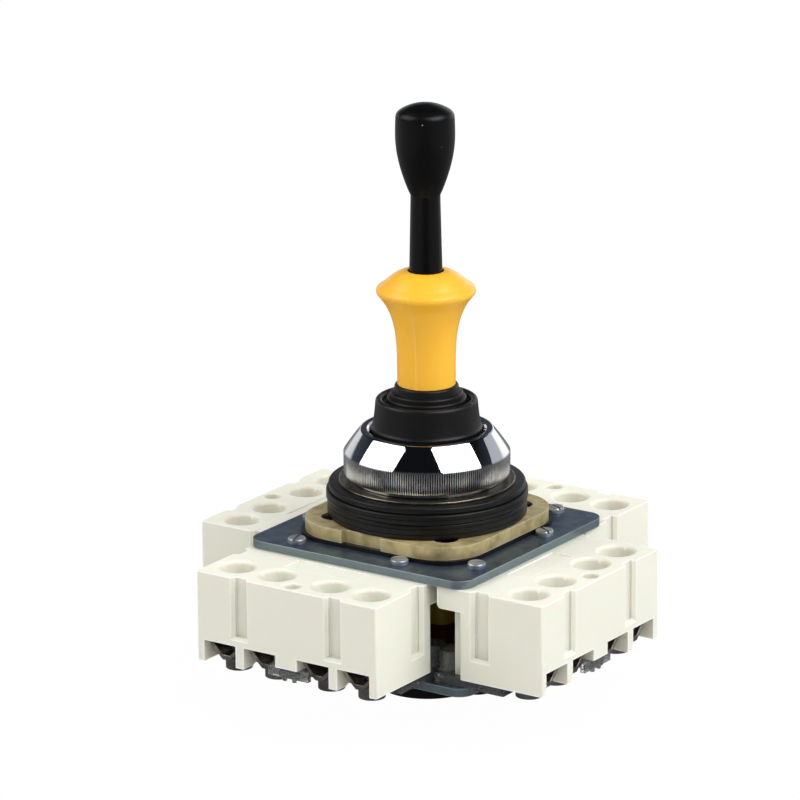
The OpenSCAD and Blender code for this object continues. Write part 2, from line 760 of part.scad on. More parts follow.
module flange_screws() {
    head_h = 1.6;
    socket_r = 1.4;
    head_z = flange_top - 2.2;
    color(black) at_flange_screws() difference() {
        union() {
            translate([0, 0, block_top]) cylinder(r = flange_screw_r, h = head_z - block_top + eps);
            translate([0, 0, head_z]) cylinder(r = flange_head_r, h = head_h);
        }
        translate([0, 0, head_z + head_h - 1]) cylinder(r = socket_r, h = 1 + over, $fn = 6);
    }
}

module flange_gasket() {
    side = flange_side + 2 * flange_gasket_out;
    color(rubber) translate([0, 0, plate_top]) difference() {
        linear_extrude(flange_gasket_t) rounded_rect(side, side, flange_gasket_corner_r);
        translate([0, 0, -over]) cylinder(r = barrel_bore_r, h = flange_gasket_t + 2 * over);
        at_flange_screws() translate([0, 0, -over])
            cylinder(r = flange_screw_r + 0.1, h = flange_gasket_t + 2 * over);
    }
}

// ---- gimbal ----

module gimbal_ring() {
    color(bright_steel) translate([0, 0, pivot_z]) difference() {
        translate([0, 0, -gimbal_h / 2]) soft_ring(gimbal_r, gimbal_in_r, gimbal_h, 0.5);
        rotate([0, 90, 0]) cylinder(r = pin_r + run_gap, h = 3 * gimbal_r, center = true);
        rotate([90, 0, 0]) cylinder(r = pin_r + seat_gap, h = 3 * gimbal_r, center = true);
    }
}

// Two short pins from the barrel into the ring, on the X axis.
module gimbal_pins() {
    inner = gimbal_in_r + 0.5;
    outer = thread_r - 0.2;
    color(bright_steel) translate([0, 0, pivot_z]) for (s = [0, 180])
        rotate([0, 90, s]) translate([0, 0, inner]) cylinder(r = pin_r, h = outer - inner);
}

// One long pin across the ring, on the Y axis; the hub turns on it.
module cross_pin() {
    color(bright_steel) translate([0, 0, pivot_z]) rotate([90, 0, 0])
        cylinder(r = pin_r, h = 2 * gimbal_r - 0.6, center = true);
}

// ---- plates, guides and base ----

module top_plate() {
    color(plate_steel) translate([0, 0, block_top]) difference() {
        linear_extrude(top_plate_t) rounded_rect(top_plate_side, top_plate_side, plate_corner_r);
        translate([0, 0, -over]) cylinder(r = plate_bore_r, h = top_plate_t + 2 * over);
        at_block_screws() translate([0, 0, -over]) cylinder(r = screw_hole_r, h = top_plate_t + 2 * over);
        at_flange_screws() translate([0, 0, -over])
            cylinder(r = flange_screw_r + seat_gap, h = top_plate_t + 2 * over);
    }
}

module plate_screws() {
    length = top_plate_t + lug_h - 0.4;
    color(bright_steel) for (n = [0:3], k = [0, 1]) on_side(n)
        translate([k == 0 ? screw_near : -screw_far, -screw_out, plate_top])
            rotate([0, 0, 35 + 70 * k + 25 * n]) pan_screw(screw_r, length, screw_head_r, screw_head_h);
}

// Window through both walls of a guide, for the tongues of the slide at height z.
module tongue_window(z) {
    translate([0, 0, z])
        cube([guide_side + 2 * over, tongue_w + 2 * run_gap, slide_t + 2 * run_gap], center = true);
}

module upper_guide() {
    web_t = 2;
    inner = guide_side - 2 * guide_wall;
    color(guide_yellow) difference() {
        translate([0, 0, guide_split_z]) linear_extrude(block_top - guide_split_z)
            rounded_rect(guide_side, guide_side, guide_corner_r);
        translate([0, 0, guide_split_z - over]) linear_extrude(block_top - guide_split_z - web_t + over)
            rounded_rect(inner, inner, guide_corner_r - guide_wall);
        translate([0, 0, block_top - web_t - over]) cylinder(r = guide_web_bore_r, h = web_t + 2 * over);
        tongue_window(slide_x_z);
        rotate([0, 0, 90]) tongue_window(slide_y_z);
    }
}

module lower_guide() {
    color(guide_red) translate([0, 0, cover_z]) difference() {
        linear_extrude(lower_guide_h) rounded_rect(guide_side, guide_side, guide_corner_r);
        translate([0, 0, guide_floor_t]) cylinder(r = dish_r + 0.1, h = lower_guide_h);
        translate([0, 0, -over]) cylinder(r = spring_bore_r, h = guide_floor_t + 2 * over);
    }
}

// A slide: the lever's ball works in its slot, and its tongues reach out on both sides.
module slide(slot_half_l) {
    slot_r = ball_r + slot_gap;
    translate([0, 0, -slide_t / 2]) linear_extrude(slide_t) difference() {
        union() {
            rounded_rect(2 * slide_half_w, 2 * slide_half_l, 1);
            square([2 * tongue_end, tongue_w], center = true);
        }
        square([2 * slot_r, 2 * (slot_half_l - slot_r)], center = true);
        for (s = [-1, 1]) translate([0, s * (slot_half_l - slot_r)]) circle(slot_r);
    }
}

module slide_x() {
    color(bright_steel) translate([0, 0, slide_x_z]) slide(slide_half_l - 2.2);
}

module slide_y() {
    color(bright_steel) translate([0, 0, slide_y_z]) rotate([0, 0, 90]) slide(slide_half_l - 1.8);
}

module centring_dish() {
    rim_r = dish_r - 1.8;
    bowl_d = 1;
    bowl_floor_r = 1.5;
    color(black) rotate_extrude()
        polygon([[0, dish_stem_bottom], [dish_stem_r, dish_stem_bottom], [dish_stem_r, dish_under_z],
                 [dish_r, dish_under_z], [dish_r, dish_centre_z + dish_rim_h],
                 [rim_r, dish_centre_z + dish_rim_h], [rim_r, dish_centre_z + bowl_d],
                 [bowl_floor_r, dish_centre_z], [0, dish_centre_z]]);
}

module centring_spring() {
    wire_r = 0.7;
    color(bright_steel) translate([0, 0, cup_wall + seat_gap])
        coil(spring_bore_r - 1.7, wire_r, dish_under_z - cup_wall - 2 * seat_gap, 5);
}

module base_plate() {
    color(plate_steel) translate([0, 0, base_plate_z]) difference() {
        linear_extrude(base_plate_t) rounded_rect(base_plate_side, base_plate_side, plate_corner_r);
        translate([0, 0, -over]) cylinder(r = spigot_r + run_gap, h = base_plate_t + 2 * over);
        at_block_screws() translate([0, 0, -over]) cylinder(r = screw_hole_r, h = base_plate_t + 2 * over);
    }
}

// Black cup under the base: its spigot sits in the plate and its post guides the dish's stem.
module base_cup() {
    post_r = dish_stem_r + 1.4;
    post_top = cup_h - 3;
    color(black) difference() {
        union() {
            rotate_extrude()
                polygon(concat([[0, 0]], arc(cup_r - cup_edge_r, cup_edge_r, cup_edge_r, -90, 0),
                               [[cup_r, cup_h], [spigot_r, cup_h], [spigot_r, cup_h + base_plate_t],
                                [spring_bore_r, cup_h + base_plate_t], [spring_bore_r, cup_wall],
                                [0, cup_wall]]));
            translate([0, 0, cup_wall - eps]) cylinder(r = post_r, h = post_top - cup_wall);
        }
        translate([0, 0, cup_wall]) cylinder(r = dish_stem_r + run_gap, h = cup_h);
    }
}

module base_screws() {
    length = base_plate_t + cover_t + rear_screw_depth - 0.4;
    color(black) at_block_screws() translate([0, 0, base_plate_z]) rotate([180, 0, 0])
        pan_screw(screw_r, length, base_head_r, base_head_h);
}

// ---- contact blocks, drawn for the front side ----

// A hole with a rounded lip, sunk from the top face.
module lipped_hole(r, lip, depth) {
    rotate_extrude()
        polygon(concat([[0, over], [r + lip, over]],
                       arc(r + lip, -lip, lip, 90, 180, 4), [[r, -depth], [0, -depth]]));
}

// A groove down a face, open at the top, with a bevel round its other three edges.
module bevelled_groove(w, length) {
    mouth = w / 2 + groove_bevel;
    low = length + groove_bevel;
    translate([-w / 2, -groove_d, -length]) cube([w, groove_d + over, length + over]);
    intersection() {
        translate([0, 0, -low]) linear_extrude(low + over)
            polygon([[-mouth, over], [-mouth, 0], [-w / 2, -groove_bevel], [w / 2, -groove_bevel],
                     [mouth, 0], [mouth, over]]);
        translate([-mouth - over, 0, 0]) rotate([90, 0, 90]) linear_extrude(2 * (mouth + over))
            polygon([[over, -low], [over, over], [-groove_bevel, over], [-groove_bevel, -length], [0, -low]]);
    }
}

module housing_shape() {
    arc_c = [lug_in + lug_edge_r, -lug_h + lug_edge_r];
    mid_v = (block_in + block_out) / 2;
    translate([block_shift, -mid_v, -block_h]) linear_extrude(block_h)
        rounded_rect(block_w, block_out - block_in, block_corner_r);
    along_block(block_left, block_right)
        polygon(concat([[block_in + 1, 0], [lug_in, 0]],
                       arc(arc_c[0], arc_c[1], lug_edge_r, 180, 270, 4), [[block_in + 1, -lug_h]]));
    block_box(block_left + rear_inset, block_right - rear_inset, rear_end_in, block_in + 1,
              -block_h, -lug_h + eps);
    block_box(-screw_far - rear_pad, screw_near + rear_pad, rear_in, block_in + 1,
              -block_h, -lug_h + eps);
}

// Outline in [outward, up] of what is cut away behind the feet, with their rounded back edge.
module behind_feet() {
    foot_in = block_out - foot_d;
    polygon(concat([[notch_in, notch_top], [notch_in, -block_h - over],
                    [foot_in + foot_edge_r, -block_h - over]],
                   arc(foot_in + foot_edge_r, foot_edge_r - block_h, foot_edge_r, 270, 180, 6),
                   [[foot_in, notch_top]]));
}

// The four wire notches, the short middle foot and the pockets of the terminal bars.
module notch_cuts() {
    for (u = terminal_x) translate([block_shift + u, 0, 0]) {
        block_box(-notch_w / 2, notch_w / 2, notch_in, block_out + over, -block_h - over, notch_top);
        block_box(-bar_w / 2 - run_gap, bar_w / 2 + run_gap, contact_face - run_gap,
                  terminal_out + bar_reach + 0.2, bar_z - eps, bar_z + terminal_sheet + 2 * run_gap);
        block_box(-tip_w / 2 - run_gap, tip_w / 2 + run_gap, contact_face - run_gap,
                  contact_face + terminal_sheet + run_gap, bar_z - eps, bar_z + bar_tip_h + 0.1);
        translate([0, -terminal_out, 0]) {
            lipped_hole(access_r, access_lip, access_depth);
            translate([0, 0, -block_h]) cylinder(r = terminal_screw_r + 0.35, h = block_h);
        }
    }
    block_box(block_shift - centre_foot_w / 2, block_shift + centre_foot_w / 2, notch_in,
              block_out + over, -block_h - over, -block_h + centre_foot_cut);
    along_block(block_shift - terminal_far, block_shift + terminal_far) behind_feet();
}

// The contact chamber, open below, and the slot that the plunger's blade runs in.
module chamber_cuts() {
    half_blade = tongue_w / 2 + blade_clear;
    slot_bottom = slide_y_z - slide_t / 2 - block_top - blade_clear;
    block_box(chamber_left, chamber_right, chamber_in, chamber_out, -block_h - over, chamber_top);
    block_box(-half_blade, half_blade, rear_in - over, chamber_out - 0.3, slot_bottom, blade_slot_top);
}

module housing() {
    color(ivory) translate([0, 0, block_top]) difference() {
        housing_shape();
        notch_cuts();
        chamber_cuts();
        for (s = [-1, 1]) translate([block_shift + s * groove_off, -block_out, 0])
            mirror([0, 1, 0]) bevelled_groove(groove_w, groove_h);
        for (s = [-1, 1]) translate([block_shift + s * block_w / 2, -end_groove_out, 0])
            rotate([0, 0, -90 * s]) bevelled_groove(end_groove_w, end_groove_h);
        for (x = [screw_near, -screw_far]) translate([x, -screw_out, 0]) {
            translate([0, 0, -lug_h - over]) cylinder(r = screw_hole_r, h = lug_h + 2 * over);
            translate([0, 0, -block_h - over]) cylinder(r = screw_hole_r, h = rear_screw_depth + over);
        }
        translate([block_shift, pilot_inset - block_out, 0]) lipped_hole(pilot_r, 0.5, 4);
        block_box(block_shift - panel_w / 2, block_shift + panel_w / 2,
                  top_plate_side / 2 + 1.2, terminal_out - access_r - access_lip - 1.2, -panel_d, over);
        for (x = post_x) translate([x, -post_out, -block_h - over])
            cylinder(r = post_r + 0.3, h = post_h - cover_t + 0.3 + over);
    }
}

module cover() {
    reach = notch_in - 0.1;
    step_v = notch_in + 0.2;
    tongue_half_w = centre_foot_w / 2 - 0.15;
    clip_low = cover_t - 0.1;
    clip_top = clip_low + 2;
    clip_t = 1.2;
    clip_out = block_out - 0.8;
    color(clear) translate([0, 0, cover_z]) difference() {
        union() {
            block_box(block_left + cover_inset, block_right - cover_inset, cover_in, reach, 0, cover_t);
            along_block(block_shift - tongue_half_w, block_shift + tongue_half_w)
                polygon([[reach - 2, 0], [reach + 1.5, 0], [reach + 3, clip_low], [clip_out, clip_low],
                         [clip_out, clip_top], [step_v, clip_top], [step_v, cover_t], [reach - 2, cover_t]]);
            block_box(block_shift - clip_half_w, block_shift + clip_half_w, clip_out - clip_t, clip_out,
                      clip_low, clip_top);
            for (s = [-1, 1]) translate([block_shift + s * 1.3, clip_t / 2 - clip_out, clip_low - 0.8])
                cylinder(r = 0.55, h = 1);
            for (x = post_x) translate([x, -post_out, 0]) cylinder(r = post_r, h = post_h);
        }
        for (x = post_x) translate([x, -post_out, cover_t]) cylinder(r = post_r / 2, h = post_h);
        for (x = [screw_near, -screw_far]) translate([x, -screw_out, -over])
            cylinder(r = screw_hole_r, h = post_h + 2 * over);
    }
}

// Wire saddles: a bent plate on a threaded boss, at their open position.
module saddles() {
    top = notch_top - 0.4;
    flat = 1;
    half = saddle_w / 2;
    under = saddle_drop + saddle_t;
    color(nickel) for (u = terminal_x) translate([block_shift + u, 0, block_top]) difference() {
        union() {
            translate([0, saddle_inset - block_out, top]) rotate([-90, 0, 0]) linear_extrude(saddle_d)
                polygon([[-half, 0], [-flat, saddle_drop], [flat, saddle_drop], [half, 0],
                         [half, saddle_t], [flat, under], [-flat, under], [-half, saddle_t]]);
            translate([0, -terminal_out, top - under - saddle_boss_h])
                cylinder(r = saddle_boss_r, h = saddle_boss_h + saddle_t / 2);
        }
        translate([0, -terminal_out, -2 * block_h])
            cylinder(r = terminal_screw_r + run_gap, h = 2 * block_h);
    }
}

module terminal_screws() {
    tip = -block_h - 1.8;
    seat = -access_depth;
    slot_w = 0.9;
    slot_d = 1.1;
    color(nickel) for (k = [0:3]) translate([block_shift + terminal_x[k], -terminal_out, block_top])
        rotate([0, 0, 20 + 40 * k]) difference() {
            union() {
                translate([0, 0, tip]) cylinder(r = terminal_screw_r, h = seat - tip + eps);
                translate([0, 0, seat]) cylinder(r = terminal_head_r, h = terminal_head_h);
            }
            translate([-terminal_head_r - over, -slot_w / 2, seat + terminal_head_h - slot_d])
                cube([2 * (terminal_head_r + over), slot_w, slot_d + over]);
        }
}

// Each bar lies over its notch and turns up into the chamber as a fixed contact.
module terminal_bars() {
    color(brass) for (u = terminal_x) translate([block_shift + u, 0, block_top]) difference() {
        union() {
            block_box(-bar_w / 2, bar_w / 2, contact_face, terminal_out + bar_reach, bar_z + run_gap,
                      bar_z + run_gap + terminal_sheet);
            block_box(-tip_w / 2, tip_w / 2, contact_face, contact_face + terminal_sheet,
                      bar_z + run_gap, bar_z + bar_tip_h);
        }
        translate([0, -terminal_out, bar_z - over])
            cylinder(r = terminal_screw_r + 0.3, h = terminal_sheet + 3 * over);
    }
}

// A blade at its slide's height, with a crossbar that carries the contact bridges.
module plunger(blade_z) {
    half = tongue_w / 2;
    top = block_top + crossbar_top;
    inner = crossbar_out - crossbar_t;
    color(rubber) {
        block_box(-half, half, tongue_end, crossbar_out, blade_z - slide_t / 2, blade_z + slide_t / 2);
        block_box(-half, half, inner, crossbar_out, top - crossbar_h, blade_z + slide_t / 2);
        block_box(chamber_left + crossbar_gap, chamber_right - crossbar_gap, inner, crossbar_out,
                  top - crossbar_h, top);
    }
}

module bridges() {
    z0 = block_top + crossbar_top - (crossbar_h + bridge_h) / 2;
    contact_r = 0.45 * bridge_h;
    color(brass) for (k = [0, 2]) {
        x0 = block_shift + terminal_x[k];
        x1 = block_shift + terminal_x[k + 1];
        block_box(x0 - bridge_end, x1 + bridge_end, crossbar_out, crossbar_out + bridge_t,
                  z0, z0 + bridge_h);
        for (x = [x0, x1]) translate([x, -crossbar_out, z0 + bridge_h / 2]) rotate([90, 0, 0])
            cylinder(r = contact_r, h = 2 * bridge_t);
    }
}

grip();
lever_rod();
lever_stem();
lever_hub();
spring_ring();
lift_collar();
collar_spring();
boot();
bezel_ring();
clamp_washer();
gasket_upper();
gasket_middle();
gasket_lower();
head_body();
flange_screws();
flange_gasket();
gimbal_ring();
gimbal_pins();
cross_pin();
top_plate();
plate_screws();
upper_guide();
lower_guide();
slide_x();
slide_y();
centring_dish();
centring_spring();
base_plate();
base_cup();
base_screws();
on_side(0) housing();  // housing_front
on_side(1) housing();  // housing_right
on_side(2) housing();  // housing_back
on_side(3) housing();  // housing_left
on_side(0) cover();  // cover_front
on_side(1) cover();  // cover_right
on_side(2) cover();  // cover_back
on_side(3) cover();  // cover_left
on_side(0) saddles();  // saddles_front
on_side(1) saddles();  // saddles_right
on_side(2) saddles();  // saddles_back
on_side(3) saddles();  // saddles_left
on_side(0) terminal_screws();  // terminal_screws_front
on_side(1) terminal_screws();  // terminal_screws_right
on_side(2) terminal_screws();  // terminal_screws_back
on_side(3) terminal_screws();  // terminal_screws_left
on_side(0) terminal_bars();  // terminal_bars_front
on_side(1) terminal_bars();  // terminal_bars_right
on_side(2) terminal_bars();  // terminal_bars_back
on_side(3) terminal_bars();  // terminal_bars_left
on_side(0) plunger(slide_y_z);  // plunger_front
on_side(1) plunger(slide_x_z);  // plunger_right
on_side(2) plunger(slide_y_z);  // plunger_back
on_side(3) plunger(slide_x_z);  // plunger_left
on_side(0) bridges();  // bridges_front
on_side(1) bridges();  // bridges_right
on_side(2) bridges();  // bridges_back
on_side(3) bridges();  // bridges_left
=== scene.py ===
import json
import math

import bpy
from mathutils import Matrix, Vector

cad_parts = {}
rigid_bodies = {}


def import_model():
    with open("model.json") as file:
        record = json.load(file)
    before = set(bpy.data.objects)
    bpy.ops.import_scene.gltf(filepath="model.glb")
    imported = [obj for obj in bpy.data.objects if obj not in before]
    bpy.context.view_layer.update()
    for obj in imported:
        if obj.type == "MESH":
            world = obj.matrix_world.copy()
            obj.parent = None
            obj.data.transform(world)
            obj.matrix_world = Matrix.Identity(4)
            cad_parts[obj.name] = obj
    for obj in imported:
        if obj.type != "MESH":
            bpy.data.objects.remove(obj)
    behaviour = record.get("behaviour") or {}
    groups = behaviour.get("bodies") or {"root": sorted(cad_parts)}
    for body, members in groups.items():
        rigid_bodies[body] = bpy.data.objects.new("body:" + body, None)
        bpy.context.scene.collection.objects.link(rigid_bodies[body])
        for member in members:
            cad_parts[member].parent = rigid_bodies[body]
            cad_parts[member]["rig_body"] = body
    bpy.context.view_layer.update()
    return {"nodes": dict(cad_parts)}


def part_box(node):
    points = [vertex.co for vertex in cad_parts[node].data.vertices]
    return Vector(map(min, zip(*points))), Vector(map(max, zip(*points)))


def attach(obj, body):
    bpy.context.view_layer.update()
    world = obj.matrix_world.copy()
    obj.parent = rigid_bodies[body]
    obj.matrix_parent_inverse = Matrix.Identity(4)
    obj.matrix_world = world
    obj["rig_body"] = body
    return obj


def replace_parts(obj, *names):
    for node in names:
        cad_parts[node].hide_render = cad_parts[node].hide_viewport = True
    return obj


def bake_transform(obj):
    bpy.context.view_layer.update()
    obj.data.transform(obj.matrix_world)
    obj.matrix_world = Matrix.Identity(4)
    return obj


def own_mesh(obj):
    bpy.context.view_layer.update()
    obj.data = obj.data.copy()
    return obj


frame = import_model()
mm = 0.001


# ---- camera ----
# A long lens looks down on the front corner of the joystick, from between its front and its
# right side, and stands a little more than a metre away.

view_azimuth = math.radians(34.055)
view_elevation = math.radians(16.494)
view_distance = 1.12975
view_target = Vector((0, 0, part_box("top_plate")[1].z + 29.7 * mm))
view_back = Vector((math.sin(view_azimuth) * math.cos(view_elevation),
                    -math.cos(view_azimuth) * math.cos(view_elevation),
                    math.sin(view_elevation)))
view_roll = Matrix.Rotation(math.radians(-0.333), 4, "Z")

camera_data = bpy.data.cameras.new("view")
camera_data.sensor_width = 36
camera_data.lens = 221.3
camera_data.shift_x = -0.0333
camera_data.shift_y = 0.0044
camera_data.clip_end = 20
camera = bpy.data.objects.new("view", camera_data)
look = (-view_back).to_track_quat("-Z", "Y").to_matrix().to_4x4()
camera.matrix_world = Matrix.Translation(view_target + view_back * view_distance) @ look @ view_roll
bpy.context.scene.collection.objects.link(camera)
bpy.context.scene.camera = camera
bpy.context.scene.view_settings.view_transform = "Standard"


# ---- studio ----
# A white table runs up into a dark room with two big soft boxes overhead, one to the left
# and one to the right, and a pale card at the far right. Chrome shows each of them.


def add(tree, kind, inputs=(), **settings):
    """Adds a shader node, sets its choices, and fills or links its inputs."""
    node = tree.nodes.new("ShaderNode" + kind)
    for key, value in settings.items():
        setattr(node, key, value)
    for key, value in dict(inputs).items():
        if isinstance(value, bpy.types.NodeSocket):
            tree.links.new(value, node.inputs[key])
        else:
            node.inputs[key].default_value = value
    return node


def srgb(r, g, b):
    """A colour from a paint card, 0 to 255, as a shader takes it."""
    linear = [((c / 255 + 0.055) / 1.055) ** 2.4 for c in (r, g, b)]
    return (*linear, 1.0)


def towards(azimuth, elevation, distance):
    """A place round the object: degrees to the right of the camera, degrees up, metres off."""
    swing = view_azimuth + math.radians(azimuth)
    rise = math.radians(elevation)
    flat = Vector((math.sin(swing), -math.cos(swing), 0)) * math.cos(rise)
    return view_target + (flat + Vector((0, 0, math.sin(rise)))) * distance


def soft_box(name, azimuth, elevation, distance, width, height, watts, colour=(1, 1, 1)):
    """A rectangular lamp that faces the object."""
    data = bpy.data.lights.new(name, "AREA")
    data.shape = "RECTANGLE"
    data.size = width
    data.size_y = height
    data.energy = watts
    data.color = colour
    lamp = bpy.data.objects.new(name, data)
    place = towards(azimuth, elevation, distance)
    aim = (view_target - place).to_track_quat("-Z", "Y").to_matrix().to_4x4()
    lamp.matrix_world = Matrix.Translation(place) @ aim
    bpy.context.scene.collection.objects.link(lamp)
    return lamp


soft_box("right_soft_box", 60, 48, 1.6, 1.42, 1.25, 25.5, (0.95, 0.965, 1))
soft_box("left_soft_box", -87, 40, 1.6, 1.36, 1.2, 13)
soft_box("far_card", 140, 13, 1.6, 2.0, 0.85, 2.9, (0.95, 0.96, 1))

# Glossy pieces see a pale wall behind the object, a dim one at the camera's side and a dusky
# ceiling. Everything else gets an even fill, and the camera and clear plastic see white.
world = bpy.data.worlds.new("studio")
bpy.context.scene.world = world
world.use_nodes = True
sky = world.node_tree
sky.nodes.clear()
direction = add(sky, "TexCoord")
height = add(sky, "SeparateXYZ", {0: direction.outputs["Generated"]})
away = add(sky, "VectorMath", {0: direction.outputs["Generated"],
                               1: (-math.sin(view_azimuth), math.cos(view_azimuth), 0)},
           operation="DOT_PRODUCT")
wall = add(sky, "MapRange", {"Value": away.outputs["Value"], "From Min": 0.3, "From Max": 0.8,
                             "To Min": 0.13, "To Max": 0.85})
ceiling = add(sky, "MapRange", {"Value": height.outputs["Z"], "From Min": 0.19,
                                "From Max": 0.24, "To Min": 0.0, "To Max": 1.0})
room = add(sky, "Mix", {0: ceiling.outputs[0], 6: (1, 1, 1, 1), 7: (0.7, 0.8, 1, 1)},
           data_type="RGBA")
dusk = add(sky, "MapRange", {"Value": height.outputs["Z"], "From Min": 0.22, "From Max": 0.6,
                             "To Min": 0.09, "To Max": 0.008})
dim = add(sky, "Mix", {0: ceiling.outputs[0], 2: wall.outputs[0], 3: dusk.outputs[0]},
          data_type="FLOAT")
rays = add(sky, "LightPath")
seen_by_gloss = add(sky, "Background", {"Color": room.outputs[2], "Strength": dim.outputs[0]})
fill = add(sky, "Background", {"Color": (0.96, 0.98, 1, 1), "Strength": 0.6})
white = add(sky, "Background", {"Color": (1, 1, 1, 1), "Strength": 1.0})
lit = add(sky, "MixShader", {0: rays.outputs["Is Glossy Ray"], 1: fill.outputs[0],
                             2: seen_by_gloss.outputs[0]})
clear_view = add(sky, "Math", {0: rays.outputs["Is Camera Ray"],
                               1: rays.outputs["Is Transmission Ray"]}, operation="MAXIMUM")
shown = add(sky, "MixShader", {0: clear_view.outputs[0], 1: lit.outputs[0], 2: white.outputs[0]})
add(sky, "OutputWorld", {0: shown.outputs[0]})

# The table shows white and keeps a faint shadow. Chrome sees it dim, most of all in front of
# and behind the object.
table_light = 0.985
bpy.ops.mesh.primitive_plane_add(size=9, location=(0, 0, 0))
floor = bpy.context.object
floor.name = "floor"
paper = bpy.data.materials.new("white_paper")
paper.use_nodes = True
sheet = paper.node_tree
sheet.nodes.clear()
rays = add(sheet, "LightPath")
sight = add(sheet, "Math", {0: rays.outputs["Is Camera Ray"], 1: rays.outputs["Is Glossy Ray"]},
            operation="MAXIMUM")
sight = add(sheet, "Math", {0: sight.outputs[0], 1: rays.outputs["Is Transmission Ray"]},
            operation="MAXIMUM")
matt = add(sheet, "BsdfDiffuse", {"Color": (0.7, 0.7, 0.7, 1)})
spot = add(sheet, "TexCoord").outputs["Object"]
aside = add(sheet, "VectorMath", {0: spot, 1: (math.cos(view_azimuth), math.sin(view_azimuth), 0)},
            operation="DOT_PRODUCT")
aside = add(sheet, "Math", {0: aside.outputs["Value"]}, operation="ABSOLUTE")
reflected = add(sheet, "MapRange", {"Value": aside.outputs[0], "From Min": 0.06,
                                    "From Max": 0.35, "To Min": -0.88, "To Max": -0.6})
strength = add(sheet, "Math", {0: rays.outputs["Is Glossy Ray"], 1: reflected.outputs[0],
                               2: 1.0}, operation="MULTIPLY_ADD")
glow = add(sheet, "Emission", {"Color": (1, 1, 1, 1), "Strength": strength.outputs[0]})
share = add(sheet, "Math", {0: sight.outputs[0], 1: table_light}, operation="MULTIPLY")
mixed = add(sheet, "MixShader", {0: share.outputs[0], 1: matt.outputs[0], 2: glow.outputs[0]})
add(sheet, "OutputMaterial", {0: mixed.outputs[0]})
floor.data.materials.append(paper)


# ---- base cup ----
# The round black cup under the base holds the centring spring. It is a moulding in black
# nylon, and its spigot seats in the bottom plate.


def shader_group(name, inputs, outputs):
    """An empty shader group with float sockets, or colour sockets for names that end in Color."""
    tree = bpy.data.node_groups.new(name, "ShaderNodeTree")
    for side, names in (("INPUT", inputs), ("OUTPUT", outputs)):
        for title in names:
            kind = "NodeSocketColor" if title.endswith("Color") else "NodeSocketFloat"
            tree.interface.new_socket(title, in_out=side, socket_type=kind)
    return tree, tree.nodes.new("NodeGroupInput").outputs, tree.nodes.new("NodeGroupOutput").inputs


def make_moulded_skin():
    """The skin of a moulding: clouds in its colour and gloss, and a fine grain in relief."""
    names = ["Color", "Cloud Color", "Grain Size", "Rough", "Rough Spread"]
    tree, given, out = shader_group("moulded_skin", names, ["Color", "Rough", "Height"])
    place = add(tree, "TexCoord").outputs["Object"]
    clouds = add(tree, "TexNoise", {"Vector": place, "Scale": 70.0, "Detail": 3.0})
    tint = add(tree, "Mix", {0: clouds.outputs[0], 6: given["Color"], 7: given["Cloud Color"]},
               data_type="RGBA")
    tree.links.new(tint.outputs[2], out["Color"])
    smears = add(tree, "TexNoise", {"Vector": place, "Scale": 190.0, "Detail": 4.0})
    middle = add(tree, "Math", {0: smears.outputs[0], 1: 0.5}, operation="SUBTRACT")
    rough = add(tree, "Math", {0: middle.outputs[0], 1: given["Rough Spread"], 2: given["Rough"]},
                operation="MULTIPLY_ADD")
    tree.links.new(rough.outputs[0], out["Rough"])
    pitch = add(tree, "Math", {0: 1.0, 1: given["Grain Size"]}, operation="DIVIDE")
    grain = add(tree, "TexNoise", {"Vector": place, "Scale": pitch.outputs[0], "Detail": 2.0})
    tree.links.new(grain.outputs[0], out["Height"])
    return tree


def make_dust():
    """Sparse specks of dust and lint, as a mask."""
    tree, given, out = shader_group("dust", ["Cell", "Share"], ["Mask"])
    place = add(tree, "TexCoord").outputs["Object"]
    pitch = add(tree, "Math", {0: 1.0, 1: given["Cell"]}, operation="DIVIDE")
    cells = add(tree, "TexVoronoi", {"Vector": place, "Scale": pitch.outputs[0]})
    near = add(tree, "MapRange", {"Value": cells.outputs["Distance"], "From Min": 0.07,
                                  "From Max": 0.14, "To Min": 1.0, "To Max": 0.0})
    chance = add(tree, "SeparateColor", {0: cells.outputs["Color"]})
    rare = add(tree, "Math", {0: chance.outputs[0], 1: given["Share"]}, operation="LESS_THAN")
    mask = add(tree, "Math", {0: near.outputs[0], 1: rare.outputs[0]}, operation="MULTIPLY")
    tree.links.new(mask.outputs[0], out["Mask"])
    return tree


def make_wear_and_highlight_edge():
    """Edges paler than the faces, as a mask broken up by noise: rubbed wear on the metals, a
    painted highlight on the ivory.
    """
    tree, given, out = shader_group("wear_and_highlight_edge", ["Width", "Breaks"], ["Mask"])
    rounded = add(tree, "Bevel", {"Radius": given["Width"]}, samples=6)
    flat = add(tree, "NewGeometry")
    match = add(tree, "VectorMath", {0: rounded.outputs[0], 1: flat.outputs["Normal"]},
                operation="DOT_PRODUCT")
    edge = add(tree, "MapRange", {"Value": match.outputs["Value"], "From Min": 0.97,
                                  "From Max": 0.86, "To Min": 0.0, "To Max": 1.0})
    place = add(tree, "TexCoord").outputs["Object"]
    noise = add(tree, "TexNoise", {"Vector": place, "Scale": 700.0, "Detail": 5.0})
    chips = add(tree, "MapRange", {"Value": noise.outputs[0], "From Min": 0.35, "From Max": 0.6,
                                   "To Min": 1.0, "To Max": 0.0})
    kept = add(tree, "Math", {0: chips.outputs[0], 1: given["Breaks"]}, operation="MULTIPLY")
    whole = add(tree, "Math", {0: 1.0, 1: kept.outputs[0]}, operation="SUBTRACT")
    mask = add(tree, "Math", {0: edge.outputs[0], 1: whole.outputs[0]}, operation="MULTIPLY")
    tree.links.new(mask.outputs[0], out["Mask"])
    return tree


moulded_skin = make_moulded_skin()
dust = make_dust()
wear_and_highlight_edge = make_wear_and_highlight_edge()


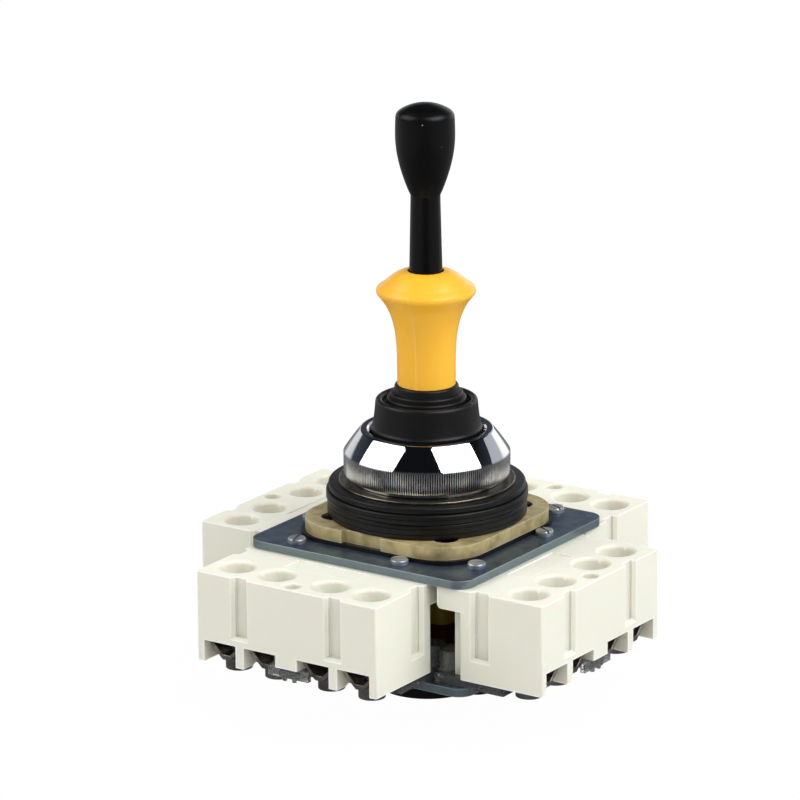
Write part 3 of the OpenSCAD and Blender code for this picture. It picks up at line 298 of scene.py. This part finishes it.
def new_finish(name, **values):
    """A material with a Principled shader; the values are its sockets' names and numbers."""
    material = bpy.data.materials.new(name)
    material.use_nodes = True
    tree = material.node_tree
    shader = tree.nodes["Principled BSDF"]
    for key, value in values.items():
        shader.inputs[key.replace("_", " ").title().replace("Ior", "IOR")].default_value = value
    return material, tree, shader


def use_group(tree, group, **values):
    """Places a shader group in a material with its own values."""
    node = tree.nodes.new("ShaderNodeGroup")
    node.node_tree = group
    for key, value in values.items():
        socket = node.inputs[key.replace("_", " ").title()]
        if isinstance(value, bpy.types.NodeSocket):
            tree.links.new(value, socket)
        else:
            socket.default_value = value
    return node.outputs


def relief(tree, shader, height, depth):
    """Feeds a height into the shader's normal, with its depth in metres."""
    bump = add(tree, "Bump", {"Height": height, "Distance": depth, "Strength": 1.0})
    tree.links.new(bump.outputs[0], shader.inputs["Normal"])


def moulded(name, colour, cloud, rough, spread, grain, depth, specks=0.0, edge_highlight=None, **values):
    """A plastic or rubber moulding. Specks is its share of dust. With an edge highlight colour, its
    edges get that colour as a painted highlight and its hollows get a painted shade."""
    material, tree, shader = new_finish(name, **values)
    skin = use_group(tree, moulded_skin, color=colour, cloud_color=cloud, grain_size=grain,
                     rough=rough, rough_spread=spread)
    shade = skin["Color"]
    if edge_highlight:
        # Painted shade: hollows that ambient occlusion finds are mixed towards a darker ivory.
        open_air = add(tree, "AmbientOcclusion", {"Distance": 2.6 * mm}, samples=6)
        hollow_shade_mask = add(tree, "MapRange", {"Value": open_air.outputs["AO"], "From Min": 0.55,
                                        "From Max": 0.95, "To Min": 0.6, "To Max": 0.0})
        painted_hollow_shade = srgb(188, 187, 166)
        shade = add(tree, "Mix", {0: hollow_shade_mask.outputs[0], 6: shade, 7: painted_hollow_shade},
                    data_type="RGBA").outputs[2]
        # Painted highlight: the edges take the paler edge colour.
        mask = use_group(tree, wear_and_highlight_edge, width=0.7 * mm, breaks=0.2)["Mask"]
        shade = add(tree, "Mix", {0: mask, 6: shade, 7: edge_highlight}, data_type="RGBA").outputs[2]
    if specks:
        mask = use_group(tree, dust, cell=1.6 * mm, share=specks)["Mask"]
        lint = srgb(120, 118, 112)
        shade = add(tree, "Mix", {0: mask, 6: shade, 7: lint}, data_type="RGBA").outputs[2]
    tree.links.new(shade, shader.inputs["Base Color"])
    tree.links.new(skin["Rough"], shader.inputs["Roughness"])
    relief(tree, shader, skin["Height"], depth)
    return material


def dress(material, *nodes):
    """Gives CAD nodes their finish."""
    for node in nodes:
        for place in frame["nodes"][node].material_slots:
            place.material = material


black_nylon = moulded("black_nylon", srgb(14, 14, 15), srgb(20, 20, 21), 0.42, 0.15,
                      grain=0.25 * mm, depth=0.01 * mm, specks=0.02, specular_ior_level=0.35)
dress(black_nylon, "base_cup")


# ---- centring dish and spring ----
# The dish under the lever's tip is turned nylon and slides in the cup. A spring of bright
# music wire pushes it up, and so brings the lever back to the centre.


def make_drawn_streaks():
    """Fine streaks and patches, as plating leaves them on drawn or turned steel."""
    names = ["Color", "Dark Color", "Rough", "Rough Spread", "Streak"]
    tree, given, out = shader_group("drawn_streaks", names, ["Color", "Rough", "Height"])
    place = add(tree, "TexCoord").outputs["Object"]
    along = add(tree, "Mapping", {"Vector": place, "Scale": (1.0, 1.0, 0.12)})
    streaks = add(tree, "TexNoise", {"Vector": along.outputs[0], "Scale": 2200.0, "Detail": 3.0})
    patches = add(tree, "TexNoise", {"Vector": place, "Scale": 260.0, "Detail": 5.0})
    blot = add(tree, "MapRange", {"Value": patches.outputs[0], "From Min": 0.4, "From Max": 0.7})
    tint = add(tree, "Mix", {0: blot.outputs[0], 6: given["Color"], 7: given["Dark Color"]},
               data_type="RGBA")
    tree.links.new(tint.outputs[2], out["Color"])
    both = add(tree, "Mix", {0: given["Streak"], 2: patches.outputs[0], 3: streaks.outputs[0]},
               data_type="FLOAT")
    middle = add(tree, "Math", {0: both.outputs[0], 1: 0.5}, operation="SUBTRACT")
    rough = add(tree, "Math", {0: middle.outputs[0], 1: given["Rough Spread"], 2: given["Rough"]},
                operation="MULTIPLY_ADD")
    tree.links.new(rough.outputs[0], out["Rough"])
    tree.links.new(both.outputs[0], out["Height"])
    return tree


drawn_streaks = make_drawn_streaks()


def plated(name, colour, dark, rough, spread, streak, depth, metallic=1.0):
    """A plated or turned metal."""
    material, tree, shader = new_finish(name, metallic=metallic)
    skin = use_group(tree, drawn_streaks, color=colour, dark_color=dark, rough=rough,
                     rough_spread=spread, streak=streak)
    tree.links.new(skin["Color"], shader.inputs["Base Color"])
    tree.links.new(skin["Rough"], shader.inputs["Roughness"])
    relief(tree, shader, skin["Height"], depth)
    return material


bright_steel = plated("bright_steel", srgb(198, 198, 200), srgb(160, 160, 163), 0.28, 0.2,
                      streak=0.6, depth=0.004 * mm)
dress(black_nylon, "centring_dish")
dress(bright_steel, "centring_spring")


# ---- plates ----
# Two pressed steel squares, zinc plated and passivated blue, carry the contact blocks. Their
# edges are bright and rounded by the press.


def soften(node, width, segments=2, angle=32):
    """Stands a copy of a CAD node in for it, with its doubles merged and its edges rounded."""
    source = frame["nodes"][node]
    piece = bpy.data.objects.new(node + "_soft", source.data.copy())
    bpy.context.scene.collection.objects.link(piece)
    bpy.ops.object.select_all(action="DESELECT")
    piece.select_set(True)
    bpy.context.view_layer.objects.active = piece
    bpy.ops.object.mode_set(mode="EDIT")
    bpy.ops.mesh.select_all(action="SELECT")
    bpy.ops.mesh.remove_doubles(threshold=0.001 * mm)
    bpy.ops.mesh.dissolve_limited(angle_limit=math.radians(0.2))
    bpy.ops.object.mode_set(mode="OBJECT")
    bevel = piece.modifiers.new("edges", "BEVEL")
    bevel.width = width
    bevel.segments = segments
    bevel.limit_method = "ANGLE"
    bevel.angle_limit = math.radians(angle)
    bevel.harden_normals = True
    bpy.ops.object.modifier_apply(modifier=bevel.name)
    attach(piece, source["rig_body"])
    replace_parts(piece, node)
    return piece


def coat(piece, material):
    """Gives a modelled piece its one finish."""
    piece.data.materials.clear()
    piece.data.materials.append(material)
    return piece


def make_scratches():
    """Long thin scratches in three directions, as a mask."""
    tree, given, out = shader_group("scratches", ["Share"], ["Mask"])
    place = add(tree, "TexCoord").outputs["Object"]
    total = None
    for slant, stretch in ((0.5, 0.03), (1.9, 0.05), (2.7, 0.02)):
        lay = add(tree, "Mapping", {"Vector": place, "Rotation": (0, 0, slant),
                                    "Scale": (1.0, stretch, stretch)})
        lines = add(tree, "TexVoronoi", {"Vector": lay.outputs[0], "Scale": 1500.0},
                    feature="DISTANCE_TO_EDGE")
        thin = add(tree, "MapRange", {"Value": lines.outputs["Distance"], "From Min": 0.0,
                                      "From Max": 0.035, "To Min": 1.0, "To Max": 0.0})
        gate = add(tree, "TexNoise", {"Vector": lay.outputs[0], "Scale": 240.0})
        some = add(tree, "Math", {0: gate.outputs[0], 1: given["Share"]}, operation="LESS_THAN")
        mask = add(tree, "Math", {0: thin.outputs[0], 1: some.outputs[0]}, operation="MULTIPLY")
        if total is None:
            total = mask
        else:
            total = add(tree, "Math", {0: total.outputs[0], 1: mask.outputs[0]},
                        operation="MAXIMUM")
    tree.links.new(total.outputs[0], out["Mask"])
    return tree


scratches = make_scratches()


def make_blue_zinc():
    """Blue passivated zinc: scratched faces, paler sheared sides and edges rubbed bright."""
    material, tree, shader = new_finish("blue_zinc")
    skin = use_group(tree, drawn_streaks, color=srgb(98, 116, 138), dark_color=srgb(72, 90, 110),
                     rough=0.36, rough_spread=0.22, streak=0.25)
    marks = use_group(tree, scratches, share=0.43)["Mask"]
    edges = use_group(tree, wear_and_highlight_edge, width=0.5 * mm, breaks=0.3)["Mask"]
    scratched = srgb(150, 165, 170)
    rubbed = srgb(186, 198, 202)
    faint = add(tree, "Math", {0: marks, 1: 0.3}, operation="MULTIPLY")
    shade = add(tree, "Mix", {0: faint.outputs[0], 6: skin["Color"], 7: scratched},
                data_type="RGBA")
    facing = add(tree, "SeparateXYZ", {0: add(tree, "TexCoord").outputs["Normal"]})
    upright = add(tree, "Math", {0: facing.outputs["Z"]}, operation="ABSOLUTE")
    side = add(tree, "MapRange", {"Value": upright.outputs[0], "From Min": 0.35,
                                  "From Max": 0.75, "To Min": 1.0, "To Max": 0.0})
    cut = add(tree, "Mix", {0: skin["Height"], 6: srgb(92, 104, 110), 7: srgb(128, 142, 148)},
              data_type="RGBA")
    shade = add(tree, "Mix", {0: side.outputs[0], 6: shade.outputs[2], 7: cut.outputs[2]},
                data_type="RGBA")
    shade = add(tree, "Mix", {0: edges, 6: shade.outputs[2], 7: rubbed}, data_type="RGBA")
    tree.links.new(shade.outputs[2], shader.inputs["Base Color"])
    bare = add(tree, "MapRange", {"Value": side.outputs[0], "To Min": 0.85, "To Max": 0.55})
    tree.links.new(bare.outputs[0], shader.inputs["Metallic"])
    tree.links.new(skin["Rough"], shader.inputs["Roughness"])
    relief(tree, shader, skin["Height"], 0.006 * mm)
    return material


blue_zinc = make_blue_zinc()
for plate in ("base_plate", "top_plate"):
    coat(soften(plate, 0.3 * mm, segments=3), blue_zinc)


# ---- guides ----
# The crossed slides run in two nylon mouldings between the plates, a yellow one over a dark
# red one. They show in the gaps at the corners.

guide_yellow = moulded("guide_yellow", srgb(158, 136, 14), srgb(146, 124, 12), 0.4, 0.1,
                       grain=0.2 * mm, depth=0.006 * mm)
guide_red = moulded("guide_red", srgb(88, 22, 22), srgb(76, 18, 18), 0.4, 0.1,
                    grain=0.2 * mm, depth=0.006 * mm)
dress(guide_yellow, "upper_guide")
dress(guide_red, "lower_guide")


# ---- contact blocks ----
# Each block is one ivory thermoset moulding with four lipped screwdriver holes, bevelled
# grooves and wire notches. Screws through both plates hold it.

sides = ("front", "right", "back", "left")
# The ivory gets a painted highlight on its edges and a painted shade in its hollows.
ivory = moulded("ivory", srgb(228, 226, 211), srgb(223, 221, 205), 0.38, 0.12, grain=0.35 * mm,
                depth=0.006 * mm, specks=0.015, edge_highlight=srgb(252, 252, 246), subsurface_weight=0.25,
                subsurface_scale=0.002)
for side in sides:
    coat(soften("housing_" + side, 0.18 * mm), ivory)


# ---- terminals and contacts ----
# Four nickel plated screws a block pull bent saddles up against brass bars. A black nylon
# plunger in each block carries two brass bridges, which close on the bars.

nickel = plated("nickel", srgb(190, 185, 180), srgb(146, 140, 135), 0.3, 0.25, streak=0.3,
                depth=0.006 * mm)
brass = plated("contact_brass", srgb(214, 178, 106), srgb(190, 150, 84), 0.3, 0.2, streak=0.3,
               depth=0.004 * mm)
for side in sides:
    coat(soften("saddles_" + side, 0.12 * mm), nickel)
    coat(soften("terminal_screws_" + side, 0.15 * mm), nickel)
    dress(brass, "terminal_bars_" + side, "bridges_" + side)
    dress(black_nylon, "plunger_" + side)


# ---- clear covers ----
# A clear polycarbonate moulding closes each block from below. Its clip bar shows at the front
# between the terminals, and its hollow posts stand in the corner gap.

clear, clear_tree, clear_shader = new_finish(
    "clear_polycarbonate", base_color=(0.96, 0.975, 0.97, 1), roughness=0.03, ior=1.58,
    transmission_weight=0.94)
flow = add(clear_tree, "TexNoise", {"Vector": add(clear_tree, "TexCoord").outputs["Object"],
                                    "Scale": 420.0, "Detail": 2.0})
relief(clear_tree, clear_shader, flow.outputs[0], 0.08 * mm)
for side in sides:
    coat(soften("cover_" + side, 0.15 * mm), clear)


# ---- screws through the plates ----
# Slotted pan heads of zinc plated steel on the top plate hold the blocks, and black round
# heads do so under the bottom plate.

screw_zinc = plated("screw_zinc", srgb(182, 186, 188), srgb(140, 143, 152), 0.38, 0.22,
                    streak=0.2, depth=0.005 * mm, metallic=0.75)
coat(soften("plate_screws", 0.12 * mm), screw_zinc)
dress(black_nylon, "base_screws")


# ---- slides ----
# Two crossed slides, pressed from bright steel, lie one above the other in the guides. The
# lever's balls work in their slots.

dress(bright_steel, "slide_x", "slide_y")


# ---- head ----
# The flange and the threaded barrel are one zinc die casting, passivated olive yellow. A thin
# black seal lies under it, and four screws hold it to the top plate.


def make_olive_zinc():
    """Passivated zinc casting: blotched olive gold, with its edges rubbed to bare metal."""
    material, tree, shader = new_finish("olive_zinc", metallic=0.4)
    skin = use_group(tree, drawn_streaks, color=srgb(204, 187, 136), dark_color=srgb(158, 142, 92),
                     rough=0.38, rough_spread=0.25, streak=0.12)
    edges = use_group(tree, wear_and_highlight_edge, width=0.5 * mm, breaks=0.65)["Mask"]
    specks = use_group(tree, dust, cell=0.9 * mm, share=0.13)["Mask"]
    bare = srgb(228, 223, 206)
    rubbed = add(tree, "Math", {0: edges, 1: specks}, operation="MAXIMUM")
    shade = add(tree, "Mix", {0: rubbed.outputs[0], 6: skin["Color"], 7: bare}, data_type="RGBA")
    tree.links.new(shade.outputs[2], shader.inputs["Base Color"])
    tree.links.new(skin["Rough"], shader.inputs["Roughness"])
    relief(tree, shader, skin["Height"], 0.03 * mm)
    return material


rubber = moulded("black_rubber", srgb(9, 9, 10), srgb(14, 14, 15), 0.42, 0.16,
                 grain=0.3 * mm, depth=0.012 * mm, specks=0.03, specular_ior_level=0.35)
olive_zinc = make_olive_zinc()
coat(soften("head_body", 0.3 * mm, segments=3), olive_zinc)
dress(rubber, "flange_gasket")
dress(black_nylon, "flange_screws")


# ---- gimbal ----
# A turned steel ring swings on two short pins in the barrel, and the lever's hub on a long
# pin through the ring.

dress(bright_steel, "gimbal_ring", "gimbal_pins", "cross_pin")


# ---- panel gaskets ----
# Three seals moulded in black rubber stack up on the flange, with the barrel through their
# bores. Fine lips run round the rims of the lower two.


def turn(name, outline, sides=160, closed=True):
    """Extrudes a ring of points along an outline of (radius, height), as on a lathe. A closed
    outline is bridged back to its start, and an open one gets a flat end at both ends."""
    radius, z = outline[0]
    bpy.ops.object.select_all(action="DESELECT")
    bpy.ops.mesh.primitive_circle_add(vertices=sides, radius=radius, location=(0, 0, z))
    piece = bpy.context.object
    piece.name = name
    bpy.ops.object.transform_apply(location=True)
    bpy.ops.object.mode_set(mode="EDIT")
    bpy.ops.mesh.select_all(action="SELECT")
    for next_radius, next_z in outline[1:]:
        bpy.ops.mesh.extrude_region()
        bpy.ops.transform.translate(value=(0, 0, next_z - z))
        grow = next_radius / radius
        bpy.ops.transform.resize(value=(grow, grow, 1), center_override=(0, 0, next_z))
        radius, z = next_radius, next_z
    if closed:
        bpy.ops.mesh.select_all(action="DESELECT")
        bpy.ops.mesh.select_non_manifold()
        bpy.ops.mesh.bridge_edge_loops()
    else:
        bpy.ops.mesh.select_all(action="SELECT")
        bpy.ops.mesh.fill_holes(sides=0)
    bpy.ops.mesh.select_all(action="SELECT")
    bpy.ops.mesh.normals_make_consistent(inside=False)
    bpy.ops.object.mode_set(mode="OBJECT")
    return piece


def corner(x, z, r, start, end, steps=6):
    """Points of a round corner about (x, z), in millimetres, between two angles in degrees."""
    angles = [math.radians(start + (end - start) * i / steps) for i in range(steps + 1)]
    return [(x + r * math.cos(a), z + r * math.sin(a)) for a in angles]


def in_metres(outline):
    """An outline drawn in millimetres, for turning."""
    return [(r * mm, z * mm) for r, z in outline]


def smooth(piece, angle=35):
    """Shades a piece smooth, apart from its sharp edges."""
    bpy.ops.object.select_all(action="DESELECT")
    piece.select_set(True)
    bpy.context.view_layer.objects.active = piece
    bpy.ops.object.shade_smooth_by_angle(angle=math.radians(angle))
    return piece


gasket_bore = 15.15
gasket_round = 0.45
lip_depth = 0.14
lip_half_width = 0.09
for name, lips in (("gasket_lower", (0.35, 0.72)), ("gasket_middle", (0.5,)),
                   ("gasket_upper", ())):
    low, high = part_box(name)
    under, over, rim = low.z / mm, high.z / mm, high.x / mm
    inset = rim - gasket_round
    outline = [(gasket_bore, under)]
    outline += corner(inset, under + gasket_round, gasket_round, -90, 0)
    for share in lips:
        z = under + (over - under) * share
        outline += [(rim, z - lip_half_width), (rim - lip_depth, z), (rim, z + lip_half_width)]
    outline += corner(inset, over - gasket_round, gasket_round, 0, 90) + [(gasket_bore, over)]
    ring = smooth(turn(name + "_lipped", in_metres(outline)))
    coat(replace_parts(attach(ring, "base"), name), rubber)


# ---- clamp washer and bezel ring ----
# A thin steel washer lies under the chromed ring nut. The nut's rim is knurled, and the
# polished cone above it cuts across the tops of the teeth.

washer_steel = plated("washer_steel", srgb(150, 142, 122), srgb(104, 97, 80), 0.24, 0.2,
                      streak=0.4, depth=0.006 * mm)
coat(soften("clamp_washer", 0.15 * mm, angle=50), washer_steel)

low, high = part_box("bezel_ring")
foot, crest, rim = low.z / mm, high.z / mm, high.x / mm
teeth = 218
tooth_depth = 0.3
thread = 15.1
skirt = 17.5
band = foot + 1.25
brow = crest - 5.45
cone_top = 15.3
cone_swell = 0.09
mouth = 12.9
lip_under = crest - 1.18
lean = math.atan2(rim - cone_top, crest - brow)
round_top = 0.5
chamfer = 0.9
outline = [(thread, foot), (skirt - 0.2, foot), (skirt, foot + 0.2), (skirt, band),
           (rim - tooth_depth, band), (rim, band + 0.25), (rim, brow)]
for step in (0.13, 0.25, 0.38, 0.5, 0.62, 0.75, 0.86):
    swell = cone_swell * math.sin(math.pi * step)
    outline.append((rim - (rim - cone_top) * step + swell * math.cos(lean),
                    brow + (crest - brow) * step + swell * math.sin(lean)))
outline += corner(cone_top - round_top * (1 - math.sin(lean)) / math.cos(lean),
                  crest - round_top, round_top, math.degrees(lean), 90)
outline += corner(mouth + chamfer + 0.05, crest - 0.12, 0.12, 90, 135, steps=2)
outline += [(mouth + 0.04, crest - chamfer), (mouth, crest - chamfer - 0.1),
            (mouth, lip_under), (thread, lip_under)]
nut = turn("bezel_nut", in_metres(outline), sides=2 * teeth)


def pick_valleys(piece, low, high):
    """Opens a piece with every second point of the knurl's rim selected, between two heights
    in millimetres."""
    for point in piece.data.vertices:
        x, y, z = point.co / mm
        place = round(math.atan2(y, x) / math.pi * teeth)
        point.select = place % 2 == 1 and math.hypot(x, y) > rim - 0.01 and low < z < high
    bpy.ops.object.mode_set(mode="EDIT")


# The roots of the teeth run out higher up the cone than the tips, which scallops its foot.
bpy.ops.object.mode_set(mode="EDIT")
bpy.ops.mesh.select_mode(type="VERT")
bpy.ops.mesh.select_all(action="DESELECT")
bpy.ops.object.mode_set(mode="OBJECT")
pick_valleys(nut, brow - 0.01, brow + 0.01)
bpy.ops.transform.translate(value=(0, 0, tooth_depth * mm / math.tan(lean)))
bpy.ops.object.mode_set(mode="OBJECT")
pick_valleys(nut, band, crest)
cut = (rim - tooth_depth) / rim
bpy.ops.transform.resize(value=(cut, cut, 1), center_override=(0, 0, 0))
bpy.ops.object.mode_set(mode="OBJECT")
smooth(nut)


def make_chrome():
    """Polished chrome, satin in the knurl, with painted shade darkening the roots of its teeth."""
    material, tree, shader = new_finish("chrome", metallic=1.0)
    place = add(tree, "TexCoord").outputs["Object"]
    parts = add(tree, "SeparateXYZ", {0: place})
    flat = add(tree, "CombineXYZ", {"X": parts.outputs["X"], "Y": parts.outputs["Y"]})
    radius = add(tree, "VectorMath", {0: flat.outputs[0]}, operation="LENGTH")
    root = add(tree, "MapRange", {"Value": radius.outputs["Value"],
                                  "From Min": (rim - 0.21) * mm, "From Max": (rim - 0.1) * mm,
                                  "To Min": 1.0, "To Max": 0.0})
    below = add(tree, "Math", {0: parts.outputs["Z"], 1: brow * mm}, operation="LESS_THAN")
    above = add(tree, "Math", {0: parts.outputs["Z"], 1: band * mm}, operation="GREATER_THAN")
    knurl = add(tree, "Math", {0: below.outputs[0], 1: above.outputs[0]}, operation="MULTIPLY")
    # Painted shade: the roots of the knurl's teeth are darkened, broken up by noise.
    root_shade = add(tree, "Math", {0: knurl.outputs[0], 1: root.outputs[0]}, operation="MULTIPLY")
    spots = add(tree, "TexNoise", {"Vector": place, "Scale": 900.0, "Detail": 3.0})
    shade_breakup = add(tree, "MapRange", {"Value": spots.outputs[0], "From Min": 0.35,
                                    "From Max": 0.65, "To Min": 0.55, "To Max": 1.0})
    painted_root_shade = add(tree, "Math", {0: root_shade.outputs[0], 1: shade_breakup.outputs[0]}, operation="MULTIPLY")
    polish = (0.7, 0.71, 0.74, 1)
    painted_shade_colour = (0.03, 0.03, 0.03, 1)
    shade = add(tree, "Mix", {0: painted_root_shade.outputs[0], 6: polish, 7: painted_shade_colour}, data_type="RGBA")
    tree.links.new(shade.outputs[2], shader.inputs["Base Color"])
    skin = use_group(tree, moulded_skin, grain_size=1.5 * mm, rough=0.035, rough_spread=0.03)
    rough = add(tree, "Math", {0: knurl.outputs[0], 1: 0.2, 2: skin["Rough"]},
                operation="MULTIPLY_ADD")
    tree.links.new(rough.outputs[0], shader.inputs["Roughness"])
    relief(tree, shader, skin["Height"], 0.002 * mm)
    return material


chrome = make_chrome()
coat(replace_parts(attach(nut, "base"), "bezel_ring"), chrome)


# ---- lever ----
# The steel rod goes down through the hub to the balls that drive the slides. A glossy black
# sleeve covers it between the hub and the grip.

stem_black = moulded("stem_black", srgb(3, 3, 4), srgb(6, 6, 7), 0.14, 0.1,
                     grain=0.6 * mm, depth=0.006 * mm, specks=0.05, specular_ior_level=0.25)
dress(bright_steel, "lever_rod", "lever_hub", "spring_ring")
low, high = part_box("collar_spring")
coil = coat(soften("collar_spring", 0.01 * mm, segments=1, angle=80), bright_steel)
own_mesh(coil)
dress(stem_black, "lever_stem")


# ---- lift collar ----
# An amber moulding that slides up the stem, with a flange for two fingers. The two halves of
# its mould met along a fine seam, which runs up each side to the flange.

low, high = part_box("lift_collar")
hem = low.z / mm
foot = high.z / mm - 26.8


def make_amber():
    """Amber plastic with the fine raised line that the two halves of the tool left."""
    material, tree, shader = new_finish("amber", subsurface_weight=0.1, subsurface_scale=0.002)
    skin = use_group(tree, moulded_skin, color=srgb(244, 183, 48), cloud_color=srgb(240, 177, 40),
                     grain_size=0.5 * mm, rough=0.32, rough_spread=0.1)
    place = add(tree, "TexCoord").outputs["Object"]
    turned = add(tree, "Mapping", {"Vector": place, "Rotation": (0, 0, math.radians(77.2))})
    across = add(tree, "SeparateXYZ", {0: turned.outputs[0]})
    off = add(tree, "Math", {0: across.outputs["Y"]}, operation="ABSOLUTE")
    ridge = add(tree, "MapRange", {"Value": off.outputs[0], "From Min": 0.05 * mm,
                                   "From Max": 0.16 * mm, "To Min": 1.0, "To Max": 0.0})
    ended = add(tree, "MapRange", {"Value": across.outputs["Z"],
                                   "From Min": (foot + 22.4) * mm, "From Max": (foot + 23.4) * mm,
                                   "To Min": 1.0, "To Max": 0.0})
    line = add(tree, "Math", {0: ridge.outputs[0], 1: ended.outputs[0]}, operation="MULTIPLY")
    soft = add(tree, "Math", {0: line.outputs[0], 1: 0.35}, operation="MULTIPLY")
    shade = add(tree, "Mix", {0: soft.outputs[0], 6: skin["Color"], 7: srgb(255, 222, 140)},
                data_type="RGBA")
    tree.links.new(shade.outputs[2], shader.inputs["Base Color"])
    tree.links.new(skin["Rough"], shader.inputs["Roughness"])
    height = add(tree, "Math", {0: line.outputs[0], 1: 12.0, 2: skin["Height"]},
                 operation="MULTIPLY_ADD")
    relief(tree, shader, height.outputs[0], 0.004 * mm)
    return material


amber = make_amber()
sleeve = 6.3
tube = 6.72
flare_top = 18.57
edge_round = 1.1
chamber = 5.1
stem_hole = 3.85
# The sleeve that goes down into the boot, the tube and its flare.
shape = [(chamber, hem), (sleeve - 0.1, hem), (sleeve, hem + 0.1), (sleeve, foot),
         (tube - 0.1, foot), (tube, foot + 0.1)]
for step in range(1, 21):
    shape.append((tube + 2.424 * (step / 20) ** 4, foot + flare_top * step / 20))
# The flange's underside, its round edge and the dome over it.
shape += [(9.41, foot + 19.05), (9.71, foot + 19.51), (10.05, foot + 19.98),
          (10.4, foot + 20.46), (10.78, foot + 20.93)]
shape += corner(10.33, foot + 22.11, edge_round, -40, 48, steps=8)
for step in range(3, 21):
    share = step / 20
    shape.append((10.93 - 6.73 * share, foot + 22.71 + 4.09 * math.sin(math.pi / 2 * share)))
# Inside are the hole in the crown, the spring's chamber and the web that the spring pushes.
shape += [(4.2, foot + 23.2), (chamber, foot + 23.2), (chamber, foot + 5.5),
          (stem_hole, foot + 5.5), (stem_hole, foot + 1.5), (chamber, foot + 1.5)]
collar = smooth(turn("amber_collar", in_metres(shape), sides=128), angle=40)
coat(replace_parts(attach(collar, "collar"), "lift_collar"), amber)


# ---- boot ----
# A bellows moulded in black rubber seals the lever to the bezel. Its foot is held in the nut
# and its neck grips the lever. It is turned in two pieces, a foot and the folds above it.

mouth_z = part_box("bezel_ring")[1].z / mm
top_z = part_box("boot")[1].z / mm
rim_z = mouth_z + 7.3
valley = mouth_z + 5.7
web_under = valley - 0.6
seam = mouth_z + 3.1
seam_outer = 12.14
seam_inner = 11.45
neck_bore = 6.42
# The foot bulges over the nut's mouth, and the wall narrows up to the seam.
foot_shape = ([(12.65, mouth_z - 0.9), (12.7, mouth_z - 0.3), (12.8, mouth_z + 0.05)]
              + corner(12.6, mouth_z + 0.3, 0.25, -20, 60, steps=3)
              + [(12.52, mouth_z + 0.9), (12.44, mouth_z + 1.4), (12.35, mouth_z + 1.9),
                 (12.26, mouth_z + 2.4), (12.19, mouth_z + 2.8), (seam_outer, seam),
                 (seam_inner, seam), (11.6, mouth_z + 1.5), (11.7, mouth_z - 0.9)])
# The wall goes on to a rolled rim, dips into a valley and steps up to the neck.
fold_shape = ([(seam_outer, seam), (12.1, seam + 0.4), (12.05, seam + 0.8), (12.0, seam + 1.2),
               (11.96, seam + 1.6), (11.86, mouth_z + 5.8)]
              + corner(10.95, rim_z - 0.85, 0.85, 5, 175, steps=10)
              + [(10.0, valley + 0.5), (9.8, valley + 0.1), (9.4, valley), (9.2, valley + 0.2)]
              + corner(8.75, rim_z - 0.1, 0.42, 0, 80, steps=4)
              + [(8.6, rim_z + 0.33), (8.42, rim_z + 0.4)]
              + corner(8.02, rim_z + 1.05, 0.42, 0, 80, steps=4)
              + [(7.85, rim_z + 1.5), (7.55, rim_z + 1.58)]
              + corner(6.97, top_z - 0.42, 0.4, 0, 90, steps=4)
              + [(6.5, top_z), (neck_bore, top_z - 0.1), (neck_bore, rim_z),
                 (7.95, rim_z - 1.0), (8.6, web_under), (10.6, web_under), (11.2, seam + 1.6),
                 (11.3, seam + 0.8), (seam_inner, seam)])
boot_foot = smooth(turn("boot_foot", in_metres(foot_shape), sides=128), angle=60)
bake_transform(boot_foot)
boot_folds = smooth(turn("boot_folds", in_metres(fold_shape), sides=128), angle=60)
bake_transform(boot_folds)
for piece in (boot_foot, boot_folds):
    coat(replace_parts(piece, "boot"), rubber)


# ---- grip ----
# The grip is moulded on the end of the rod in satin black plastic. It swells from the stem to
# a full round end with a low dome.

grip_black = moulded("grip_black", srgb(3, 3, 4), srgb(7, 7, 8), 0.35, 0.14,
                     grain=0.3 * mm, depth=0.01 * mm, specks=0.04, specular_ior_level=0.24)
low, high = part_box("grip")
foot, crest = low.z / mm, high.z / mm
neck = 3.42
swell_height = 14.1
handle = [(3.0, foot), (3.4, foot)]
for step in range(1, 15):
    swell = math.sin(math.pi / 2 * step / 14) ** 0.92
    handle.append((neck + 3.4 * swell, foot + swell_height * step / 14))
handle += [(6.81, foot + 15.6), (6.77, foot + 17)]
handle += corner(4.92, crest - 3.28, 1.8, 4, 56)
dome_radius = 10.83
for lean in (30, 25, 20, 15, 10, 5, 0.3):
    angle = math.radians(lean)
    handle.append((dome_radius * math.sin(angle), crest - dome_radius * (1 - math.cos(angle))))
handle = smooth(turn("grip_handle", in_metres(handle), sides=128, closed=False), angle=50)
coat(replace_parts(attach(handle, "lever"), "grip"), grip_black)
